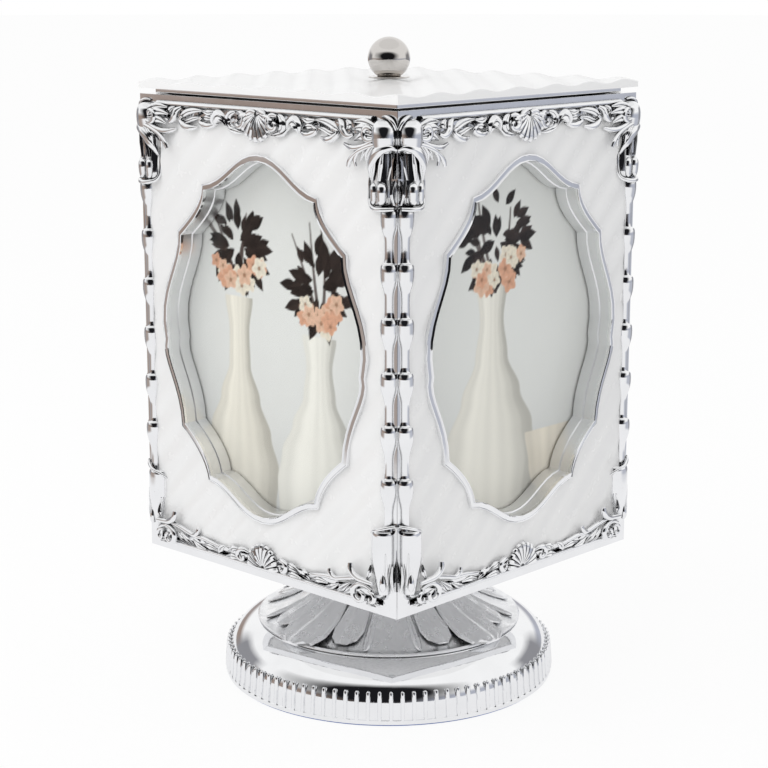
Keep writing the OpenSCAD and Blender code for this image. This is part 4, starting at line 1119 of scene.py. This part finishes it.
def base_profile():
    """The base from its foot up its side and over its shoulder to the flat top."""
    profile = [(BASE_R - 1.4, PAD_T - 0.4), (BASE_R - 0.3, PAD_T - 0.3), (BASE_R, PAD_T + 0.3),
               (BASE_R - 0.1, PAD_T + 1.6), (BASE_R - 0.5, PAD_T + 1.9)]
    reach = BASE_R - SIDE_DRAFT - BASE_FLAT_R
    for k in range(19):
        angle = pi / 2 * k / 18
        profile.append((BASE_FLAT_R + reach * cos(angle),
                        BASE_SIDE_H + (BASE_TOP_Z - BASE_SIDE_H) * sin(angle)))
    return profile + [(BASE_FLAT_R - 3, BASE_TOP_Z), (20, BASE_TOP_Z)]


def skirt_point(share, proud=0.0):
    """Radius and height of a point on the skirt's flare, and the way out from it."""
    r, h = bezier(SKIRT_SHARES, share)
    ahead = bezier(SKIRT_SHARES, min(1, share + 0.01))
    behind = bezier(SKIRT_SHARES, max(0, share - 0.01))
    out = Vector(((ahead[1] - behind[1]) * (SKIRT_TOP - BASE_TOP_Z),
                  (ahead[0] - behind[0]) * (SKIRT_R - COLLAR_R))).normalized()
    return (mix(SKIRT_R, COLLAR_R, r) + out.x * proud,
            mix(BASE_TOP_Z, SKIRT_TOP, h) + out.y * proud)


class PHOTOFRAME_OT_base(bpy.types.Operator):
    """Model the ribbed base and finish the foam pad under it"""
    bl_idname = "photoframe.base"
    bl_label = "Base"
    rib_half, rib_top, rib_lean = 0.95, 16.2, 4

    def execute(self, context):
        shell = turned(base_profile(), 200)
        low, high = PAD_T + 1.7, self.rib_top
        rib = strokes([[(0, low, 0, self.rib_half * 0.8), (0, low + 0.8, 0.1, self.rib_half),
                        (0, mix(low, high, 0.5), 0.1, self.rib_half),
                        (0, high - 0.7, 0, self.rib_half), (0, high, -0.3, self.rib_half * 0.35)]],
                      None, 2, 2)
        moved(rib, Matrix.Translation((BASE_R - 0.3, 0, 0))
              @ Matrix.Rotation(-radians(self.rib_lean), 4, "Y")
              @ Matrix.Rotation(pi / 2, 4, "Z") @ Matrix.Rotation(pi / 2, 4, "X"))
        with editing(rib):
            bpy.ops.mesh.spin(steps=sizes().rib_count, dupli=True, angle=2 * pi,
                              center=(0, 0, 0), axis=(0, 0, 1))
        cleaned(rib)
        finished(joined([shell, rib]), "base_shell_shape", "base", plating(),
                 "base_shell", angle=45)
        recipe = shared(plain_material, "foam_blue", tuple(finish().foam), 0.75, 0.0, 900)
        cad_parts["base_pad"].data.materials.clear()
        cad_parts["base_pad"].data.materials.append(recipe)
        return {"FINISHED"}


class PHOTOFRAME_OT_leaf_skirt(bpy.types.Operator):
    """Model the flared skirt with its large and small leaves"""
    bl_idname = "photoframe.leaf_skirt"
    bl_label = "Leaf Skirt"
    # Along a leaf: share of its length, and share of its half width
    leaf_shares = ((0, 0.28), (0.3, 0.5), (0.55, 0.82), (0.78, 1), (0.92, 0.86), (1, 0.4))

    def leaf(self, turn, reach, width, shares, start=0.97, proud=0.3):
        """A leaf down the flare, reach past its foot, as a stroke with a fluted section."""
        path = []
        for along, half in self.leaf_shares:
            share = mix(start, reach, along)
            r, z = skirt_point(max(share, 0), proud + 0.5 * along)
            if share < 0:
                r, z = r - share * 40, z - share * share * 60
            path.append((r, 0, z, half * width / 2))
        piece = strokes([path], shares, 6)
        return moved(piece, Matrix.Rotation(turn, 4, "Z"))

    def execute(self, context):
        flare = [skirt_point(k / 24) for k in range(25)]
        profile = [(SKIRT_R + 0.8, BASE_TOP_Z - 0.3), (SKIRT_R + 0.9, BASE_TOP_Z + 0.5),
                   (SKIRT_R + 0.2, BASE_TOP_Z + 1.0), *flare[1:], (COLLAR_R - 2, SKIRT_TOP)]
        parts = [turned(profile, 160)]
        for quarter in range(4):
            turn = quarter * pi / 2
            parts.append(self.leaf(turn, -0.09, 25, FLUTE_SHARES, proud=1.2))
            for side in (-1, 1):
                parts.append(self.leaf(turn + side * radians(21), 0.1, 15, FLUTE_SHARES, proud=0.6))
                parts.append(self.leaf(turn + side * radians(33), 0.05, 4, LEAF_SHARES, 0.75))
        finished(joined(parts), "leaf_skirt_shape", "base",
                 shared(plating_material, "satin_plating", shaded(tuple(finish().plating), 1.05), 0.3),
                 "leaf_skirt", angle=45)
        return {"FINISHED"}


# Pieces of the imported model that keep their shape

KEPT_FINISHES = {
    "turned_steel": (plain_material, ((0.56, 0.57, 0.58), 0.34, 1.0, 260, (1, 1, 8)), (
        "base_plate", "base_screws", "skirt_screws", "spindle", "lower_race", "upper_race",
        "bearing_balls", "spindle_washer", "spindle_nut", "turntable_hub", "hub_screws",
        "corner_screws", "knob_screw")),
    "black_moulding": (plain_material, ((0.022, 0.022, 0.024), 0.42, 0.0, 420), ("corner_posts",)),
    "white_paint": (plain_material, ((0.86, 0.86, 0.87), 0.4, 0.0, 420), ("floor_plate",)),
    "cream_nylon": (plain_material, ((0.72, 0.68, 0.56), 0.45, 0.0, 300), ("ball_cage",)),
    "fibre_board": (plain_material, ((0.34, 0.33, 0.32), 0.85, 0.0, 700, (1, 1, 5), 0.25),
                   tuple(f"back_board_{side}" for side in SIDES)),
    "clear_sheet": (glass_material, (), tuple(f"clear_cover_{side}" for side in SIDES)),
}


class PHOTOFRAME_OT_kept_pieces(bpy.types.Operator):
    """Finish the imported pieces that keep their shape: turntable, screws, boards and covers"""
    bl_idname = "photoframe.kept_pieces"
    bl_label = "Inner Pieces and Covers"

    def execute(self, context):
        for name, (maker, values, nodes) in KEPT_FINISHES.items():
            material = shared(maker, name, *values)
            for node in nodes:
                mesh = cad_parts[node].data
                mesh.materials.clear()
                mesh.materials.append(material)
        return {"FINISHED"}


# Stage

ROOM_R = 1.7
ROOM_H = 2.3
TABLE_R = 0.45


def room_recipe(name, view):
    """A recipe with the cosine and the sine of a point's bearing from the camera's side."""
    recipe = Recipe(name)
    flat = recipe.add("VectorMath", {0: recipe.place, 1: (1, 1, 0)}, operation="MULTIPLY")
    way = recipe.add("VectorMath", {0: flat.outputs[0]}, operation="NORMALIZE").outputs[0]
    ahead = recipe.add("VectorMath", {0: way, 1: (cos(view), sin(view), 0)}, operation="DOT_PRODUCT")
    left = recipe.add("VectorMath", {0: way, 1: (sin(view), -cos(view), 0)},
                      operation="DOT_PRODUCT")
    far = recipe.add("VectorMath", {0: flat.outputs[0]}, operation="LENGTH")
    return recipe, ahead.outputs["Value"], left.outputs["Value"], far.outputs["Value"]


def low_room(recipe, left):
    """Colour of the room near the floor, from its right-hand to its left-hand side."""
    return recipe.layer(recipe.spread(left, 0, 1, -0.5, 0.5), ROOM_RIGHT, ROOM_LEFT)


def floor_material(view):
    """White floor. Plating sees it as a white table with a dimmer room floor round it."""
    recipe, ahead, left, far = room_recipe("floor_white", view)
    recipe.surface(Base_Color=(1, 1, 1, 1), Roughness=0.9, Specular_IOR_Level=0.0)
    floor = recipe.layer(recipe.band(ahead, *FLOOR_GAP), low_room(recipe, left), ROOM_DIM)
    floor = recipe.layer(recipe.spread(ahead, 0, 1, 0.35, 0.7), floor, ROOM_WHITE)
    shown = recipe.layer(recipe.spread(far, 1, 0, TABLE_R, TABLE_R + 0.1), floor, ROOM_WHITE)
    path = recipe.add("LightPath")
    seen = recipe.math("MAXIMUM", path.outputs["Is Camera Ray"], path.outputs["Is Transmission Ray"])
    shown = recipe.layer(path.outputs["Diffuse Depth"], shown, ROOM_EVEN)
    shown = recipe.layer(seen, shown, (1, 1, 1))
    either = recipe.math("MAXIMUM", seen, path.outputs["Is Glossy Ray"])
    light = recipe.add("Emission", {"Color": shown})
    recipe.output(recipe.add("MixShader", {0: recipe.math("MULTIPLY", either, FLOOR_GLOW),
                                           1: recipe.shader.outputs[0], 2: light.outputs[0]}))
    return recipe.material


def wall_material(view):
    """Walls that only plating sees: dark behind the camera, white screens, dim gaps."""
    recipe, ahead, left, far = room_recipe("studio_wall", view)
    height = recipe.add("SeparateXYZ", {0: recipe.place}).outputs["Z"]
    wall = recipe.layer(recipe.spread(height, 0, 1, *SCREEN_FOOT), low_room(recipe, left), (1, 1, 1))
    gap = recipe.math("MULTIPLY", recipe.band(ahead, *WALL_GAP),
                      recipe.spread(height, 1, 0, *GAP_HEAD))
    wall = recipe.layer(gap, wall, ROOM_DIM)
    across = recipe.math("MULTIPLY_ADD", left, *DARK_ACROSS)
    up = recipe.math("MULTIPLY_ADD", height, *DARK_UP)
    off = recipe.math("MULTIPLY_ADD", up, up, recipe.math("MULTIPLY", across, across))
    dark = recipe.math("MULTIPLY", recipe.spread(off, 1, 0, *DARK_EDGE),
                       recipe.spread(ahead, 0, 1, 0, 0.2))
    wall = recipe.layer(dark, wall, ROOM_DARK)
    wall = recipe.layer(recipe.add("LightPath").outputs["Diffuse Depth"], wall, ROOM_EVEN)
    recipe.output(recipe.add("Emission", {"Color": wall}))
    return recipe.material


# Colours of the studio that show in the plating
ROOM_DARK = (0.012, 0.012, 0.014)
ROOM_DIM = (0.3, 0.3, 0.32)
ROOM_LEFT = (0.34, 0.27, 0.235)
ROOM_RIGHT = (0.47, 0.49, 0.56)
ROOM_WHITE = (0.93, 0.93, 0.94)
ROOM_EVEN = (0.8, 0.8, 0.8)
FLOOR_GLOW = 0.9
# Cosines of the bearings between which the gaps beside the screens fade in and out
FLOOR_GAP = (-0.85, -0.7, -0.4, -0.2)
WALL_GAP = (-0.85, -0.7, -0.35, -0.15)
# Heights in metres over which the white screens begin and the gaps end
SCREEN_FOOT = (0.16, 0.34)
GAP_HEAD = (0.5, 0.8)
# Dark oval behind the camera: share and shift across, the same for its height, and its soft edge
DARK_ACROSS = (1.15, -0.12)
DARK_UP = (1.15, -0.75)
DARK_EDGE = (0.45, 1.3)


class PHOTOFRAME_OT_stage(bpy.types.Operator):
    """Set the floor, the soft light, the room that shows in the plating, and the camera"""
    bl_idname = "photoframe.stage"
    bl_label = "Stage"

    def execute(self, context):
        look = context.scene.photo_frame_stage
        bpy.ops.object.select_all(action="DESELECT")
        bpy.ops.mesh.primitive_circle_add(vertices=96, radius=12, fill_type="NGON")
        floor = context.object
        floor.name = "floor"
        view = atan2(look.camera_place[1], look.camera_place[0])
        floor.data.materials.append(floor_material(view))
        bpy.ops.mesh.primitive_cylinder_add(vertices=96, radius=ROOM_R, depth=ROOM_H,
                                            end_fill_type="NOTHING", location=(0, 0, ROOM_H / 2))
        bpy.ops.object.transform_apply(location=True)
        wall = context.object
        wall.name = "studio_wall"
        wall.data.materials.append(wall_material(view))
        wall.visible_camera = wall.visible_diffuse = wall.visible_shadow = False
        wall.visible_transmission = wall.visible_volume_scatter = False
        self.light(context, look)
        self.camera(context, look)
        context.scene.view_settings.view_transform = "Standard"
        return {"FINISHED"}

    def light(self, context, look):
        world = bpy.data.worlds.new("white_room")
        context.scene.world = world
        world.use_nodes = True
        nodes, links = world.node_tree.nodes, world.node_tree.links
        path = nodes.new("ShaderNodeLightPath")
        seen = nodes.new("ShaderNodeMath")
        seen.operation = "MAXIMUM"
        links.new(path.outputs["Is Camera Ray"], seen.inputs[0])
        links.new(path.outputs["Is Transmission Ray"], seen.inputs[1])
        level = seen.outputs[0]
        for ray, strength in (("Is Diffuse Ray", look.fill), ("Is Glossy Ray", look.ceiling)):
            share = nodes.new("ShaderNodeMath")
            share.operation = "MULTIPLY_ADD"
            links.new(path.outputs[ray], share.inputs[0])
            share.inputs[1].default_value = strength
            links.new(level, share.inputs[2])
            level = share.outputs[0]
        background = nodes["Background"]
        background.inputs["Color"].default_value = (1, 1, 1, 1)
        links.new(level, background.inputs["Strength"])
        bpy.ops.object.light_add(type="AREA", location=(-0.3, -1.3, 1.5))
        lamp = context.object
        lamp.name = "soft_lamp"
        lamp.rotation_euler = (Vector((0, 0, 0.15)) - lamp.location).to_track_quat("-Z", "Y").to_euler()
        lamp.data.size = 1.6
        lamp.data.energy = look.lamp
        lamp.visible_glossy = False

    def camera(self, context, look):
        bpy.ops.object.camera_add(location=look.camera_place,
                                  rotation=(pi / 2 - look.camera_pitch, 0, look.camera_turn))
        camera = context.object
        camera.data.lens = look.lens
        camera.data.sensor_width = 36
        camera.data.clip_start = 0.01
        context.scene.camera = camera


OPERATORS = (
    PHOTOFRAME_OT_stage, PHOTOFRAME_OT_side_frames, PHOTOFRAME_OT_wave_panels,
    PHOTOFRAME_OT_window_bezels, PHOTOFRAME_OT_photographs, PHOTOFRAME_OT_lid,
    PHOTOFRAME_OT_knob, PHOTOFRAME_OT_base, PHOTOFRAME_OT_leaf_skirt, PHOTOFRAME_OT_kept_pieces,
)


class VIEW3D_PT_photo_frame(bpy.types.Panel):
    """Lists the pieces of the photo frame"""
    bl_label = "Photo Frame"
    bl_space_type = "VIEW_3D"
    bl_region_type = "UI"
    bl_category = "Photo Frame"

    def draw(self, context):
        scene = context.scene
        for group in (scene.photo_frame_sizes, scene.photo_frame_finish, scene.photo_frame_stage):
            for name in group.__annotations__:
                self.layout.prop(group, name)
        for operator in OPERATORS:
            self.layout.operator(operator.bl_idname)


CLASSES = (FrameSizes, FrameFinish, StageLook, *OPERATORS, VIEW3D_PT_photo_frame)
GROUPS = {"photo_frame_sizes": FrameSizes, "photo_frame_finish": FrameFinish,
          "photo_frame_stage": StageLook}


def register():
    for cls in CLASSES:
        bpy.utils.register_class(cls)
    for name, group in GROUPS.items():
        setattr(bpy.types.Scene, name, PointerProperty(type=group))


def unregister():
    for name in GROUPS:
        delattr(bpy.types.Scene, name)
    for cls in reversed(CLASSES):
        bpy.utils.unregister_class(cls)


def main():
    register()
    for operator in OPERATORS:
        getattr(bpy.ops.photoframe, operator.bl_idname.split(".")[1])()


if __name__ == "__main__":
    main()
